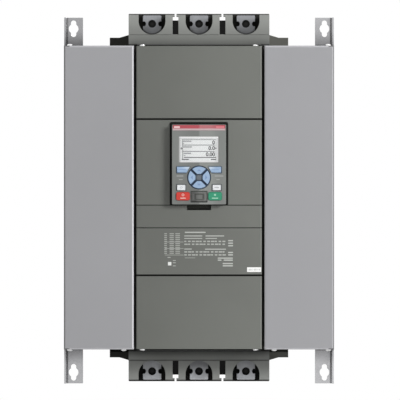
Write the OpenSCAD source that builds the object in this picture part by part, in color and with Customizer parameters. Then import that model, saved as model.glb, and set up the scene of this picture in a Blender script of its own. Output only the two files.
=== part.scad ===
// Soft starter for a three-phase motor: a wall-hung starter with two folded side covers, a moulded
// front column with a pull-out keypad, and three terminal bays at its top and at its bottom.
// Frame: X to the right, Y into the wall, Z up. The origin is the middle of the fixing holes, on the wall.

/* [Body] */
// Width over the two side covers
body_w = 361; // [352:1:372]
// Height of the side covers and of the front column
body_h = 406; // [400:1:416]
// Depth from the wall to the front of the side covers
body_d = 270; // [266:1:284]
// Height of the terminal blocks above the side covers
terminal_rise = 43.8; // [42:0.1:46]
// Rise of the body's middle above the middle of the fixing holes
body_rise = 4; // [2:0.5:6]

/* [Mounting rails] */
// Length of the ears past the ends of the body
rail_ear = 44; // [40:0.5:48]
// Sheet thickness of the rails
rail_t = 2.5; // [2:0.25:3]
// Width of the flange that lies on the wall
rail_flange_w = 25.2; // [24:0.2:28]
// Depth of the rail's side leg
rail_leg_d = 38; // [30:1:50]
// How far the rails stand outside the side covers
rail_proud = 1.4; // [0.3:0.1:2]
// Inside radius of the rail's bend
rail_bend = 2; // [1:0.25:3]
// Distance from the rail's outer face to a fixing hole
fixing_in = 12.5; // [11.5:0.1:13.5]
// Distance from the rail's end to the middle of a fixing hole
fixing_end = 14.9; // [13.5:0.1:17]
// Radius of the keyhole that passes the screw head
keyhole_r = 6.5; // [6:0.1:7.5]
// Radius of the slots that hold the screw
key_slot_r = 3.6; // [3.3:0.1:4.5]
// End to end length of the two slots
key_slot_l = 22.4; // [20:0.2:25]

/* [Side covers] */
// Sheet thickness of the side covers
cover_t = 1; // [0.8:0.1:1.5]
// Outside radius of the bends
bend_r = 2.6; // [2:0.1:4]
// Gap between the column and a side cover
column_gap = 3.2; // [2:0.1:5]
// Depth of the flange that is folded in beside the column
return_d = 34; // [20:1:50]
// Width of a vent slot
vent_w = 3.6; // [2:0.2:3.8]
// Length of a vent slot
vent_l = 50; // [30:1:54]
// Distance from slot to slot
vent_pitch = 9; // [7:0.5:14]

/* [Chassis] */
// Sheet thickness of the chassis tray
tray_t = 2; // [1.5:0.25:2.5]
// Length of the heat sink's fins, from its base to the tray
fin_d = 67.5; // [60:0.5:70]
// Thickness of a fin
fin_t = 2.6; // [2:0.1:3.5]
// Distance from fin to fin
fin_pitch = 11; // [8:0.5:14]
// Thickness of the heat sink's base
sink_base_t = 14; // [10:0.5:15]
// Distance from the side of the body to the heat sink
sink_inset = 30.5; // [24:0.5:40]
// Distance from the upper end of the body to the heat sink
sink_end = 17; // [14:0.5:30]
// Side of a square fan
fan_w = 80; // [76:0.5:81]
// Height of a fan
fan_h = 25; // [20:0.5:28]
// Distance from the lower end of the body to the fans
fan_end = 24; // [18:0.5:30]
// Number of blades on a fan
fan_blades = 7; // [5:1:9]

/* [Power path] */
// Distance from pole to pole
pole_pitch = 63; // [62:0.5:65]
// Width of a bus bar
bar_w = 24.6; // [23:0.2:26]
// Thickness of a bus bar
bar_t = 8; // [6:0.5:10]
// Radius of the hole for the cable bolt
cable_hole_r = 5.25; // [4.5:0.25:6]
// Distance from the end of the terminal block to the cable hole
cable_hole_in = 13.5; // [12:0.1:16]
// Depth of a thyristor module
module_d = 32; // [28:1:36]
// Gap between two thyristor modules
module_gap = 5; // [3:0.5:12]
// Height of the posts that carry the bars
post_d = 12; // [10:0.5:14]
// Depth of a bypass contactor, with its feet
contactor_d = 74; // [68:1:76]

/* [Terminal blocks] */
// Distance from the middle of an outer pole to the shroud's side
shroud_side = 31.3; // [30:0.1:33]
// Depth of the shroud in front of the bars' seat
shroud_d = 76; // [70:1:82]
// Wall thickness of the shroud
shroud_t = 3; // [2:0.25:4]
// Height of the three towers
tower_h = 28.3; // [26:0.1:29.5]
// How far the band below the towers leans back
band_lean = 6; // [2:0.5:7]
// Radius of the round pocket in front of a bar
pocket_r = 18; // [16:0.5:19]
// Width of the slot for a phase barrier
barrier_w = 7.8; // [6:0.2:9]
// Width of that slot's neck
barrier_neck_w = 2.6; // [2:0.2:4]
// Height of that slot's neck
barrier_neck_h = 2.4; // [2:0.1:4]
// Height of that slot's open end
barrier_open_h = 8.8; // [8:0.1:10]
// How far a wing of the terminal base reaches past the shroud
wing_reach = 25.6; // [20:0.2:30]
// Height of the wings above the side covers
wing_h = 11.4; // [8:0.2:12]
// How far the base stands out past the shroud
base_lip = 1.7; // [0.8:0.1:2.4]

/* [Front column] */
// Width of the front column
column_w = 168; // [166:0.5:176]
// How far the column stands out in front of the side covers
column_proud = 3; // [2:0.1:5]
// Height of the crown across the column's front
column_crown = 4; // [2:0.5:6]
// Wall thickness of the moulded covers
wall_t = 2.5; // [2:0.1:3]
// Radius of the column's upright front edges
column_edge_r = 2; // [1:0.1:2.4]
// Thickness of the frame that carries the covers
frame_t = 4; // [3:0.25:5]
// Height of the seam below the upper cover, from the body's middle
upper_seam_z = 104.8; // [104:0.2:112]
// Height of the seam below the keypad
keypad_seam_z = -10.2; // [-10.4:0.1:-10]
// Height of the seam above the terminal cover
terminal_seam_z = -40.5; // [-46:0.5:-38]
// Height of the seam above the lower cover
lower_seam_z = -103.9; // [-110:0.5:-98]
// Width of the two wide seams
wide_seam = 1.8; // [0.8:0.1:2.4]
// Width of the two narrow seams
narrow_seam = 0.8; // [0.5:0.1:1]

/* [Keypad] */
// Width of the keypad's front
keypad_w = 72.2; // [70:0.2:73]
// Height of the keypad's front
keypad_h = 106.7; // [106:0.1:107]
// How far the keypad's front stands out in front of the column
keypad_proud = 8; // [7:0.5:12]
// Depth of the recess behind the column's front
recess_d = 15.5; // [13:0.5:17]
// Width of the black rim beside the front
rim_w = 2.4; // [1.6:0.1:3]
// Width of that rim above the front
rim_top = 2.9; // [1.6:0.1:3.4]
// Clearance of the case in the recess
recess_gap = 0.4; // [0.3:0.05:0.6]
// Thickness of the keypad's front wall
front_t = 3; // [2.6:0.1:3.4]
// How far the keys stand out
key_proud = 1; // [0.8:0.1:1.6]
// Clearance around a key
key_gap = 0.25; // [0.15:0.05:0.35]
// Travel of a key
key_travel = 0.8; // [0.5:0.1:0.9]
// Gap between two arrow keys
arrow_gap = 1.9; // [1.6:0.1:2.4]

/* [Hidden] */
$fn = 48;
over = 1; // extra length of a cut past the face that it leaves
lap = 0.2; // how far two bodies of one piece run into each other

// Depths, from the wall forwards
y_rail = -rail_t;
y_tray = y_rail - tray_t;
y_sink_base = y_tray - fin_d;
y_sink = y_sink_base - sink_base_t;
y_module = y_sink - module_d;
y_bar_seat = y_module - post_d;
y_bar = y_bar_seat - bar_t;
y_frame_back = y_bar - contactor_d;
y_frame = y_frame_back - frame_t;
y_shroud = y_bar_seat - shroud_d;
y_front = -body_d;
y_column = y_front - column_proud;
y_keypad = y_column - keypad_proud;

// Heights from the body's middle
body_top = body_h / 2;
end_gap = 0.5;
column_top = body_top - end_gap;
block_top = body_top + terminal_rise;
tower_z = block_top - tower_h;
cable_hole_z = block_top - cable_hole_in;
seat_gap = 0.4;
base_z = body_top + seat_gap;

// Mounting rails
rail_h = body_h + 2 * rail_ear;
rail_x = body_w / 2 + rail_proud;
rail_bend_r = rail_t + rail_bend;
fixing_x = rail_x - fixing_in;
fixing_z = rail_h / 2 - fixing_end;

// Side covers and the tray that they are screwed to
cover_x = column_w / 2 + column_gap;
cover_out = body_w / 2;
y_cover_back = -rail_leg_d - seat_gap;
sheet_gap = 0.3;
tray_x = rail_x - rail_bend_r - sheet_gap;
tray_top = body_top - cover_t;
flange_in = cover_x + cover_t + sheet_gap;
flange_back = 8;
flange_front = y_front + flange_back;
vent_shift = 1.5;
vent_x = (cover_x + cover_out) / 2 + vent_shift;
vent_margin = 1.5 * vent_pitch;
vent_rows = floor((y_cover_back - y_front - return_d - 2 * vent_margin) / vent_pitch);
vent_side = 2;
vent_end = 6;
vent_mid_y = (y_front + return_d + y_cover_back) / 2;

// Screws that hold the covers
screw_r = 1.95;
screw_hole_r = 2.1;
screw_head_r = 3.7;
screw_head_h = 2.6;
screw_dome_r = 1.6 * screw_head_r;
screw_l = 6.5;
driver_l = 4;
driver_w = 0.9;
driver_d = 1;
screw_in = 26;
screw_y = y_front + screw_in;
screw_edge = 7.8;
inner_screw_edge = 13;
column_screw_edge = 8.5;
side_screw_x = cover_out - screw_edge;
inner_screw_x = cover_x + inner_screw_edge;
column_screw_x = column_w / 2 - column_screw_edge;
screw_hole_l = 12;

// Heat sink and fans
fans = 3;
sink_w = body_w - 2 * sink_inset;
sink_top = body_top - sink_end;
sink_bottom = fan_end + fan_h - body_top;
sink_h = sink_top - sink_bottom;
fan_pitch = sink_w / fans;
fan_rim = 2;
fan_bore_r = fan_w / 2 - fan_rim;
fan_hub_r = 14.5;
fan_shaft_r = 1.5;
fan_shaft_gap = 0.05;
fan_plate_t = 3;
fan_hole_in = 4.3;
fan_hole_r = 2.2;
strut_w = 4;
rotor_gap = 1;
rotor_top = 1.5;
blade_gap = 1.2;
blade_tilt = 38;
blade_chord = 26;
blade_t = 1.6;
blade_root = 2;
fan_y = y_tray - fan_w / 2;

// Thyristor modules, contactors and current transformers
module_w = pole_pitch - module_gap;
module_step = 3;
module_top = 86;
module_bottom = -24;
post_w = 22;
post_z = [66, -4];
bar_bolt_r = 4.9;
bar_bolt_gap = 0.3;
bolt_fit = 0.1;
bar_corner_r = 1.5;
bar_short = 0.5;
bar_bolt_l = 9;
bolt_head_r = 9;
bolt_head_h = 6.4;
bar_end_z = 12;
contactor_in = 1;
contactor_w = module_w - 2 * contactor_in;
contactor_top = 112;
contactor_bottom = -50;
contactor_nose = 22;
contactor_step = 4;
contactor_foot = 20;
contactor_foot_d = 10;
transformer_w = module_w - 2 * contactor_in;
transformer_d = 44;
bar_clearance = 0.3;

// Terminal blocks
base_l = 67;
base_foot = body_top - base_l;
base_in = 1;
base_w = column_w - 2 * base_in;
base_rib = 10;
wing_rib = 2;
wing_wall = 3;
shroud_w = 2 * (pole_pitch + shroud_side);
wing_w = shroud_w + 2 * wing_reach;
wing_flat = 13;
transformer_gap = 8;
transformer_h = 24;
transformer_z = [transformer_gap, transformer_gap + transformer_h] - [base_foot, base_foot];
block_wall = 4;
base_pocket_d = y_sink - y_bar_seat - block_wall;
shelf_t = 3;
shelf_reach = 6;
shelf_front = y_frame - shelf_reach;
shelf_rise = 0.5;
shelf_edge_t = 1.5;
y_band = y_shroud + band_lean;
groove = 0.9;
notch_r = 2.6;
notch_in = 1.3;

// Column
frame_wall_t = 2.5;
frame_side_gap = 0.5;
frame_end_gap = 0.4;
frame_wall_x = column_w / 2 - wall_t - frame_side_gap;
frame_wall_z = column_top - wall_t - frame_end_gap;
frame_wall_in = 16;
frame_wall_front = y_column + frame_wall_in;
lip_d = 12;
frame_post_w = 10;
frame_post_in = 24;
frame_post_z = base_foot + frame_post_in;
frame_lap = 4;
frame_wide_x = cover_x + frame_lap;
frame_end_x = cover_x - sheet_gap;
crown_x = column_w / 2 - column_edge_r;
crown_r = (crown_x * crown_x + column_crown * column_crown) / (2 * column_crown);
crown_fn = 720;
board_edge = 14;
board_w = column_w - 2 * board_edge;
board_end = 9;
board_top = upper_seam_z - board_end;
boss_in = 8;
tall_part = 20;
middle_part = 14;
flat_part = 8;
ways = 18;
terminals_w = 0.82 * board_w;
terminals_d = 18;
terminals_z = [-0.92, -0.6];
board_t = 1.6;
boss_d = 8;
boss_r = 4;
y_board = y_frame - boss_d;

// Keypad, heights from its own middle
keypad_foot = 1;
keypad_z = keypad_seam_z + keypad_h / 2 + keypad_foot;
case_back_gap = 0.3;
split_d = 7.5;
y_case = y_column + recess_d - case_back_gap;
y_split = y_keypad + split_d;
y_front_wall = y_keypad + front_t;
case_t = 2;
case_wall_t = 3.6;
case_w = keypad_w + 2 * rim_w;
case_top = keypad_h / 2 + rim_top;
case_bottom = keypad_seam_z - keypad_z;
recess_top = case_top + recess_gap;
keypad_r = 1.4;
case_r = 2;
keypad_wall_t = 2;
pcb_t = 1.6;
pcb_back = 6.6;
pcb_side = 3.1;
pcb_end = 6;
y_pcb = y_case - case_t - pcb_back - pcb_t;
pcb_w = keypad_w - 2 * pcb_side;
case_boss_end = 12;
case_boss_side = 5;
case_boss_r = 3;
flange_t = 1.2;
flange_grow = 0.5;
stem_r = 1.8;
switch_h = 1.2;
switch_r = 2.4;
switch_rest = 0.2;
switch_gap = key_travel + switch_rest;

// Key outlines, from the keypad's middle, as shares of the front's width and height
arrow_r = 0.201 * keypad_w;
window_w = 0.742 * keypad_w;
window_h = 0.329 * keypad_h;
window_z = 0.1884 * keypad_h;
window_lap = 1.7;
lens_t = 1.6;
lcd_lap = 1;
lcd_gap = 0.4;
strip_h = 7.3;
strip_t = 0.3;
strip_edge = 1;
strip_top = 0.6;
strip_gap = 0.1;
nav_z = -0.163 * keypad_h;
nav_rim = 1.3;
nav_r = arrow_r + nav_rim;
nav_gap = 0.15;
nav_lap = 0.9;
nav_lap_t = 0.8;
nav_sink = 0.4;
hub_h = 0.331 * arrow_r;
hub_gap = 1;
hub_proud = 0.3;
soft_x = [0.172, 0.407] * keypad_w;
soft_z = [-0.1012, -0.029] * keypad_h;
soft_cut = 0.0582 * keypad_w;
white_x = [0.249, 0.407] * keypad_w;
white_z = [-0.3224, -0.2559] * keypad_h;
white_r = 0.8;
run_x = [0.172, 0.421] * keypad_w;
run_z = [-0.448, -0.3468] * keypad_h;
run_r = 2.4;
flap_w = 0.28 * keypad_w;
flap_z = [-0.4649, -0.3411] * keypad_h;
flap_t = 2;
flap_gap = 0.35;
flap_sink = 0.2;
hinge_r = 1.2;
pin_r = 0.7;
pin_gap = 0.05;
pin_l = 1.2;
pin_end_gap = 0.2;
y_hinge = y_keypad + front_t / 2;
hinge_z = flap_z[0] + hinge_r;
tab_w = 31;
tab_h = 4.6;
tab_gap = 0.6;
tab_front = 3;
tab_back = 4;
tab_notch_w = tab_w + 2 * tab_gap;
tab_notch_h = 6.2;
grip_in = 4;
grip_h = 2.6;
finger_w = 14;
finger_d = 0.8;
finger_low = 2;
finger_top = 2.6;
socket_w = 8.4;
socket_h = 4.4;
socket_t = 0.7;
socket_gap = 1.5;

// Placing and outline helpers

module on_body() translate([0, 0, body_rise]) children();

module on_keypad() translate([0, 0, body_rise + keypad_z]) children();

module both_sides() {
    children();
    mirror([1, 0, 0]) children();
}

module both_ends() {
    children();
    mirror([0, 0, 1]) children();
}

// A box between two corners, given as [low, high] on each axis
module block(x, y, z) translate([x[0], y[0], z[0]]) cube([x[1] - x[0], y[1] - y[0], z[1] - z[0]]);

// An outline drawn in X and Z, filled from y_from at the front to y_to at the back
module slab(y_from, y_to) translate([0, y_to, 0]) rotate([90, 0, 0])
    linear_extrude(y_to - y_from) children();

// A rectangle between two corners
module panel(x, z) translate([x[0], z[0]]) square([x[1] - x[0], z[1] - z[0]]);

// The same rectangle with round corners, grown on every side
module soft_panel(x, z, r, grow = 0) {
    w = x[1] - x[0] + 2 * grow;
    h = z[1] - z[0] + 2 * grow;
    q = r + grow;
    translate([x[0] - grow, z[0] - grow]) {
        translate([q, 0]) square([w - 2 * q, h]);
        translate([0, q]) square([w, h - 2 * q]);
        for (cx = [q, w - q], cz = [q, h - q]) translate([cx, cz]) circle(r = q);
    }
}

// A rectangle whose two corners at its front edge, the lower one, are round
module front_rounded(x, y, r) {
    translate([x[0], y[0] + r]) square([x[1] - x[0], y[1] - y[0] - r]);
    translate([x[0] + r, y[0]]) square([x[1] - x[0] - 2 * r, y[1] - y[0]]);
    for (cx = [x[0] + r, x[1] - r]) translate([cx, y[0] + r]) circle(r = r);
}

function pole_x(pole) = (pole - 2) * pole_pitch;

// Mounting rails

module keyhole() {
    circle(r = keyhole_r);
    square([2 * key_slot_r, key_slot_l - 2 * key_slot_r], center = true);
    for (end = [-1, 1]) translate([0, end * (key_slot_l / 2 - key_slot_r)]) circle(r = key_slot_r);
}

// The rail's section: a flange on the wall and a leg that points forwards, joined by a round bend
module rail_section() {
    inner_r = rail_bend_r - rail_t;
    difference() {
        union() {
            translate([rail_x - rail_flange_w, -rail_leg_d])
                square([rail_flange_w - rail_bend_r, rail_leg_d]);
            translate([rail_x - rail_flange_w, -rail_leg_d])
                square([rail_flange_w, rail_leg_d - rail_bend_r]);
            translate([rail_x - rail_bend_r, -rail_bend_r]) circle(r = rail_bend_r);
        }
        translate([rail_x - rail_flange_w - over, -rail_leg_d - over])
            square([rail_flange_w - rail_t - inner_r + over, rail_leg_d - rail_t + over]);
        translate([rail_x - rail_flange_w - over, -rail_leg_d - over])
            square([rail_flange_w - rail_t + over, rail_leg_d - rail_t - inner_r + over]);
        translate([rail_x - rail_t - inner_r, -rail_t - inner_r]) circle(r = inner_r);
    }
}

module mounting_rail() color("silver") difference() {
    linear_extrude(rail_h, center = true) rail_section();
    for (end = [-1, 1])
        slab(-rail_t - over, over)
            translate([fixing_x, end * fixing_z]) keyhole();
}

// Chassis tray: a back plate whose ends are folded forwards behind the side covers' ends
module chassis_tray() on_body() color("gainsboro") difference() {
    union() {
        block([-tray_x, tray_x], [y_tray, y_rail], [-tray_top, tray_top]);
        both_sides() both_ends()
            block([flange_in, tray_x], [flange_front, y_tray + tray_t / 2], [tray_top - tray_t, tray_top]);
    }
    both_sides() both_ends()
        block([vent_x - vent_l / 2 - vent_side, vent_x + vent_l / 2 + vent_side],
            [y_front + return_d + vent_end, y_cover_back - vent_end],
            [tray_top - tray_t - over, tray_top + over]);
    both_sides() screw_holes_side();
}

// Side covers

// The space inside a folded cover, or its outside when inset is 0
module cover_volume(inset) {
    r = bend_r - inset;
    x = [cover_x + inset, cover_out - inset];
    back = y_cover_back + (inset > 0 ? over : 0);
    intersection() {
        linear_extrude(body_h, center = true) front_rounded(x, [y_front + inset, back], r);
        translate([x[0] - over, 0, 0]) rotate([90, 0, 90]) linear_extrude(x[1] - x[0] + 2 * over)
            rotate([0, 0, -90]) front_rounded_ends(inset, r, back);
    }
}

// The cover's outline from the side, turned so that its front edge is the lower one
module front_rounded_ends(inset, r, back) {
    front_rounded([-body_top + inset, body_top - inset], [y_front + inset, back], r);
}

module vent_slots() {
    for (row = [0 : vent_rows - 1])
        translate([vent_x, vent_mid_y + (row - (vent_rows - 1) / 2) * vent_pitch, 0])
            linear_extrude(2 * body_h, center = true) {
                square([vent_l - vent_w, vent_w], center = true);
                for (end = [-1, 1]) translate([end * (vent_l - vent_w) / 2, 0]) circle(d = vent_w);
            }
}

// The holes for a side cover's screws: one at its upper end, two at its lower end
module screw_holes_side() {
    for (p = side_screws()) translate([p[0], screw_y, p[1] * tray_top])
        cylinder(r = screw_hole_r, h = screw_hole_l, center = true);
}

function side_screws() = [[side_screw_x, 1], [side_screw_x, -1], [inner_screw_x, -1]];

module side_cover() on_body() color("darkgray") difference() {
    cover_volume(0);
    cover_volume(cover_t);
    block([cover_x - over, cover_x + cover_t], [y_front + return_d, y_cover_back + over],
        [-tray_top, tray_top]);
    vent_slots();
    screw_holes_side();
}

// Screws

module cover_screw() {
    difference() {
        intersection() {
            cylinder(r = screw_head_r, h = screw_head_h);
            translate([0, 0, screw_head_h - screw_dome_r]) sphere(r = screw_dome_r);
        }
        for (turn = [0, 90]) rotate([0, 0, turn])
            translate([0, 0, screw_head_h]) cube([driver_l, driver_w, 2 * driver_d], center = true);
    }
    translate([0, 0, -screw_l]) cylinder(r = screw_r, h = screw_l + lap);
}

module cover_screws() on_body() color("whitesmoke") {
    both_sides() for (p = side_screws())
        translate([p[0], screw_y, p[1] * body_top]) rotate([p[1] > 0 ? 0 : 180, 0, 0]) cover_screw();
    both_sides() both_ends() translate([column_screw_x, screw_y, column_top]) cover_screw();
}

// Heat sink and fans

module heat_sink() on_body() color("lightslategray")
    translate([0, 0, sink_bottom]) linear_extrude(sink_h) {
        fins = floor((sink_w - fin_t) / fin_pitch);
        translate([-sink_w / 2, y_sink]) square([sink_w, sink_base_t]);
        for (fin = [0 : fins])
            translate([(fin - fins / 2) * fin_pitch - fin_t / 2, y_sink_base - lap])
                square([fin_t, fin_d + lap]);
    }

module at_fan(place) on_body()
    translate([(place - 2) * fan_pitch, fan_y, sink_bottom - fan_h]) children();

// A square frame whose lower struts carry the motor plate and the shaft's bush
module fan_frame(place) at_fan(place) color("dimgray") {
    difference() {
        translate([0, 0, fan_h / 2]) cube([fan_w, fan_w, fan_h], center = true);
        translate([0, 0, -over]) cylinder(r = fan_bore_r, h = fan_h + 2 * over);
        for (cx = [-1, 1], cy = [-1, 1]) translate([cx, cy, 0] * (fan_w / 2 - fan_hole_in))
            translate([0, 0, -over]) cylinder(r = fan_hole_r, h = fan_h + 2 * over);
    }
    difference() {
        union() {
            cylinder(r = fan_hub_r, h = fan_plate_t);
            for (strut = [0 : 3]) rotate([0, 0, 45 + strut * 90])
                translate([fan_hub_r - over, -strut_w / 2, 0])
                    cube([fan_bore_r - fan_hub_r + 2 * over, strut_w, fan_plate_t]);
        }
        translate([0, 0, -over]) cylinder(r = fan_shaft_r + fan_shaft_gap, h = fan_plate_t + 2 * over);
    }
}

module fan_rotor(place) at_fan(place) color("black") {
    hub_z = fan_plate_t + rotor_gap;
    hub_h = fan_h - hub_z - rotor_top;
    translate([0, 0, hub_z]) cylinder(r = fan_hub_r, h = hub_h);
    translate([0, 0, lap]) cylinder(r = fan_shaft_r, h = hub_z + over);
    intersection() {
        translate([0, 0, hub_z]) cylinder(r = fan_bore_r - blade_gap, h = hub_h);
        for (blade = [0 : fan_blades - 1]) rotate([0, 0, blade * 360 / fan_blades])
            translate([fan_hub_r - blade_root, 0, hub_z + hub_h / 2]) rotate([blade_tilt, 0, 0])
                translate([0, -blade_chord / 2, -blade_t / 2]) cube([fan_bore_r, blade_chord, blade_t]);
    }
}

// Power path

module thyristor(pole) on_body() color("peru") translate([pole_x(pole), 0, 0]) difference() {
    union() {
        block([-module_w / 2, module_w / 2], [y_sink - module_step, y_sink], [module_bottom, module_top]);
        block([-module_w / 2 + module_step, module_w / 2 - module_step], [y_module, y_sink - module_step],
            [module_bottom + 3 * module_step, module_top - 3 * module_step]);
        for (z = post_z) block([-post_w / 2, post_w / 2], [y_bar_seat, y_module + over],
            [z - post_w / 2, z + post_w / 2]);
    }
    for (z = post_z) translate([0, y_bar_seat - over, z]) rotate([-90, 0, 0])
        cylinder(r = bar_bolt_r + bolt_fit, h = bar_bolt_l + over);
}

// The face of a bar, from z_low to z_high, with a cable hole near z_end and a bolt hole at z_bolt
module bar_face(z, hole_z, bolt_z) difference() {
    soft_panel([-bar_w / 2, bar_w / 2], z, bar_corner_r);
    translate([0, hole_z]) circle(r = cable_hole_r);
    for (side = [-1, 1]) translate([side * (bar_w / 2 - notch_in), hole_z]) circle(r = notch_r);
    translate([0, bolt_z]) circle(r = bar_bolt_r + bar_bolt_gap);
}

module line_bar(pole) on_body() color("silver") translate([pole_x(pole), 0, 0])
    slab(y_bar, y_bar_seat)
        bar_face([post_z[0] - bar_end_z, block_top - base_lip - bar_short], cable_hole_z, post_z[0]);

module load_bar(pole) on_body() color("silver") translate([pole_x(pole), 0, 0])
    slab(y_bar, y_bar_seat)
        bar_face([-block_top + base_lip + bar_short, post_z[1] + bar_end_z], -cable_hole_z, post_z[1]);

module bar_bolts() on_body() color("gainsboro")
    for (pole = [1 : 3], z = post_z) translate([pole_x(pole), y_bar, z]) rotate([90, 0, 0]) {
        cylinder(r = bolt_head_r, h = bolt_head_h, $fn = 6);
        shank = bar_bolt_l + bar_t / 2;
        translate([0, 0, -shank]) cylinder(r = bar_bolt_r, h = shank + lap);
    }

// A bypass contactor: it stands on two feet, one on the line bar and one on the load bar
module bypass_contactor(pole) on_body() color("dimgray") translate([pole_x(pole), 0, 0]) {
    y_body = y_bar - contactor_foot_d;
    x = [-contactor_w / 2, contactor_w / 2];
    block(x, [y_frame_back + contactor_nose, y_body], [contactor_bottom, contactor_top]);
    block([x[0] + contactor_step, x[1] - contactor_step],
        [y_frame_back, y_frame_back + contactor_nose + over],
        [contactor_bottom + contactor_nose, contactor_top - contactor_nose]);
    for (z = [contactor_bottom, contactor_top - contactor_foot])
        block([-bar_w / 2, bar_w / 2], [y_body - over, y_bar], [z, z + contactor_foot]);
}

module current_transformer(pole) on_body() color("saddlebrown") translate([pole_x(pole), 0, 0])
    difference() {
        y_mid = (y_bar + y_bar_seat) / 2;
        block([-transformer_w / 2, transformer_w / 2],
            [y_mid - transformer_d / 2, y_mid + transformer_d / 2], transformer_z);
        block([-bar_w / 2 - bar_clearance, bar_w / 2 + bar_clearance],
            [y_bar - bar_clearance, y_bar_seat + bar_clearance],
            [transformer_z[0] - over, transformer_z[1] + over]);
    }

// Terminal blocks

// The slot that takes a phase barrier, open at the end of the block, from z_floor up to its neck at neck_z
module barrier_slot(z_floor, neck_z) {
    for (side = [-1, 1]) translate([side * pole_pitch / 2, 0]) {
        panel([-barrier_w / 2, barrier_w / 2], [z_floor, neck_z]);
        panel([-barrier_neck_w / 2, barrier_neck_w / 2], [neck_z - over, block_top + over]);
    }
}

// The base's outline from the front: a foot between the side covers, wings over them and the towers' backs
module base_outline() difference() {
    union() {
        panel([-base_w / 2, base_w / 2], [base_foot, base_z + over]);
        panel([-shroud_w / 2, shroud_w / 2], [base_z, block_top]);
        polygon([[-wing_w / 2, base_z], [wing_w / 2, base_z], [wing_w / 2, base_z + wing_h],
            [wing_w / 2 - wing_flat, base_z + wing_h], [shroud_w / 2, tower_z], [-shroud_w / 2, tower_z],
            [-wing_w / 2 + wing_flat, base_z + wing_h], [-wing_w / 2, base_z + wing_h]]);
    }
    barrier_slot(block_top - barrier_open_h, block_top - base_lip);
}

// One side of the base's hollow back is open between its walls
module terminal_base() color([0.11, 0.11, 0.11]) difference() {
    slab(y_bar_seat, y_sink) base_outline();
    for (pole = [1 : 3])
        block([pole_x(pole) - pole_pitch / 2 + base_rib, pole_x(pole) + pole_pitch / 2 - base_rib],
            [y_sink - base_pocket_d, y_sink + over],
            [base_foot + block_wall, block_top - barrier_open_h - block_wall]);
    both_sides()
        block([shroud_w / 2 + wing_rib, wing_w / 2 - block_wall], [y_sink - base_pocket_d, y_sink + over],
            [base_z + wing_wall, base_z + wing_h - wing_wall]);
}

// The shroud's outline from the front
module shroud_outline() panel([-shroud_w / 2, shroud_w / 2], [base_z, block_top - base_lip]);

module shroud_face() difference() {
    shroud_outline();
    for (pole = [1 : 3]) translate([pole_x(pole), tower_z + pocket_r]) {
        circle(r = pocket_r);
        panel([-pocket_r, pocket_r], [0, tower_h]);
    }
    barrier_slot(tower_z, block_top - base_lip - barrier_neck_h);
}

// The walls between the bays and around the barrier slots, behind the face
module shroud_walls() difference() {
    shroud_outline();
    for (pole = [1 : 3]) {
        half = pole_pitch / 2 - barrier_w / 2 - shroud_t;
        edge = shroud_w / 2 - shroud_t;
        panel([max(pole_x(pole) - half, -edge), min(pole_x(pole) + half, edge)],
            [base_z + shelf_t, block_top]);
    }
    barrier_slot(tower_z, block_top - base_lip - barrier_neck_h);
    panel([-shroud_w / 2 + shroud_t, shroud_w / 2 - shroud_t], [base_z + shelf_t, tower_z - shelf_t]);
}

// An outline drawn in Y and Z, filled across the shroud's width and past it by grow
module across_shroud(grow = 0) translate([-shroud_w / 2 - grow, 0, 0])
    rotate([90, 0, 90]) linear_extrude(shroud_w + 2 * grow) children();

// The face and its walls; below the towers the face leans back as a band
module shroud_shell() difference() {
    union() {
        slab(y_shroud, y_shroud + shroud_t) shroud_face();
        slab(y_shroud + shroud_t - lap, y_bar_seat) shroud_walls();
        across_shroud() polygon([[y_shroud, tower_z], [y_band, base_z], [y_band + shroud_t, base_z],
            [y_shroud + shroud_t, tower_z]]);
    }
    across_shroud(over) polygon([[y_shroud - over, tower_z], [y_shroud, tower_z], [y_band, base_z],
        [y_band, base_z - over], [y_shroud - over, base_z - over]]);
}

module terminal_shroud() color([0.45, 0.46, 0.44]) difference() {
    union() {
        shroud_shell();
        block([-base_w / 2, base_w / 2], [shelf_front, y_band + shroud_t],
            [base_z + shelf_rise, base_z + shelf_rise + shelf_edge_t]);
    }
    block([-shroud_w / 2 - over, shroud_w / 2 + over], [y_shroud - over, y_shroud + groove],
        [tower_z - groove, tower_z]);
    for (pole = [1 : 3])
        block([pole_x(pole) - bar_w / 2 - bar_clearance, pole_x(pole) + bar_w / 2 + bar_clearance],
            [y_bar - bar_clearance, y_bar_seat + over], [base_z - over, block_top + over]);
}

// Column

module control_frame() on_body() color([0.16, 0.16, 0.16]) difference() {
    union() {
        block([-frame_end_x, frame_end_x], [y_frame, y_frame_back], [-column_top, column_top]);
        block([-frame_wide_x, frame_wide_x], [y_frame, y_frame_back],
            [tray_t - tray_top + end_gap, tray_top - tray_t - end_gap]);
        both_sides() block([frame_wall_x - frame_wall_t, frame_wall_x], [frame_wall_front, y_frame + over],
            [-frame_wall_z, frame_wall_z]);
        both_ends() block([-frame_wall_x, frame_wall_x], [frame_wall_front, y_frame + over],
            [frame_wall_z - frame_wall_t, frame_wall_z]);
        both_ends() both_sides()
            block([pole_pitch / 2 - frame_post_w / 2, pole_pitch / 2 + frame_post_w / 2],
                [y_frame_back - over, y_bar_seat],
                [frame_post_z - frame_post_w / 2, frame_post_z + frame_post_w / 2]);
        both_sides() both_ends() translate([board_w / 2 - boss_in, y_frame + over, board_top - boss_in])
            rotate([90, 0, 0]) cylinder(r = boss_r, h = boss_d + over);
    }
    both_sides() both_ends() translate([column_screw_x, screw_y, frame_wall_z])
        cylinder(r = screw_hole_r, h = screw_hole_l, center = true);
}

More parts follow.
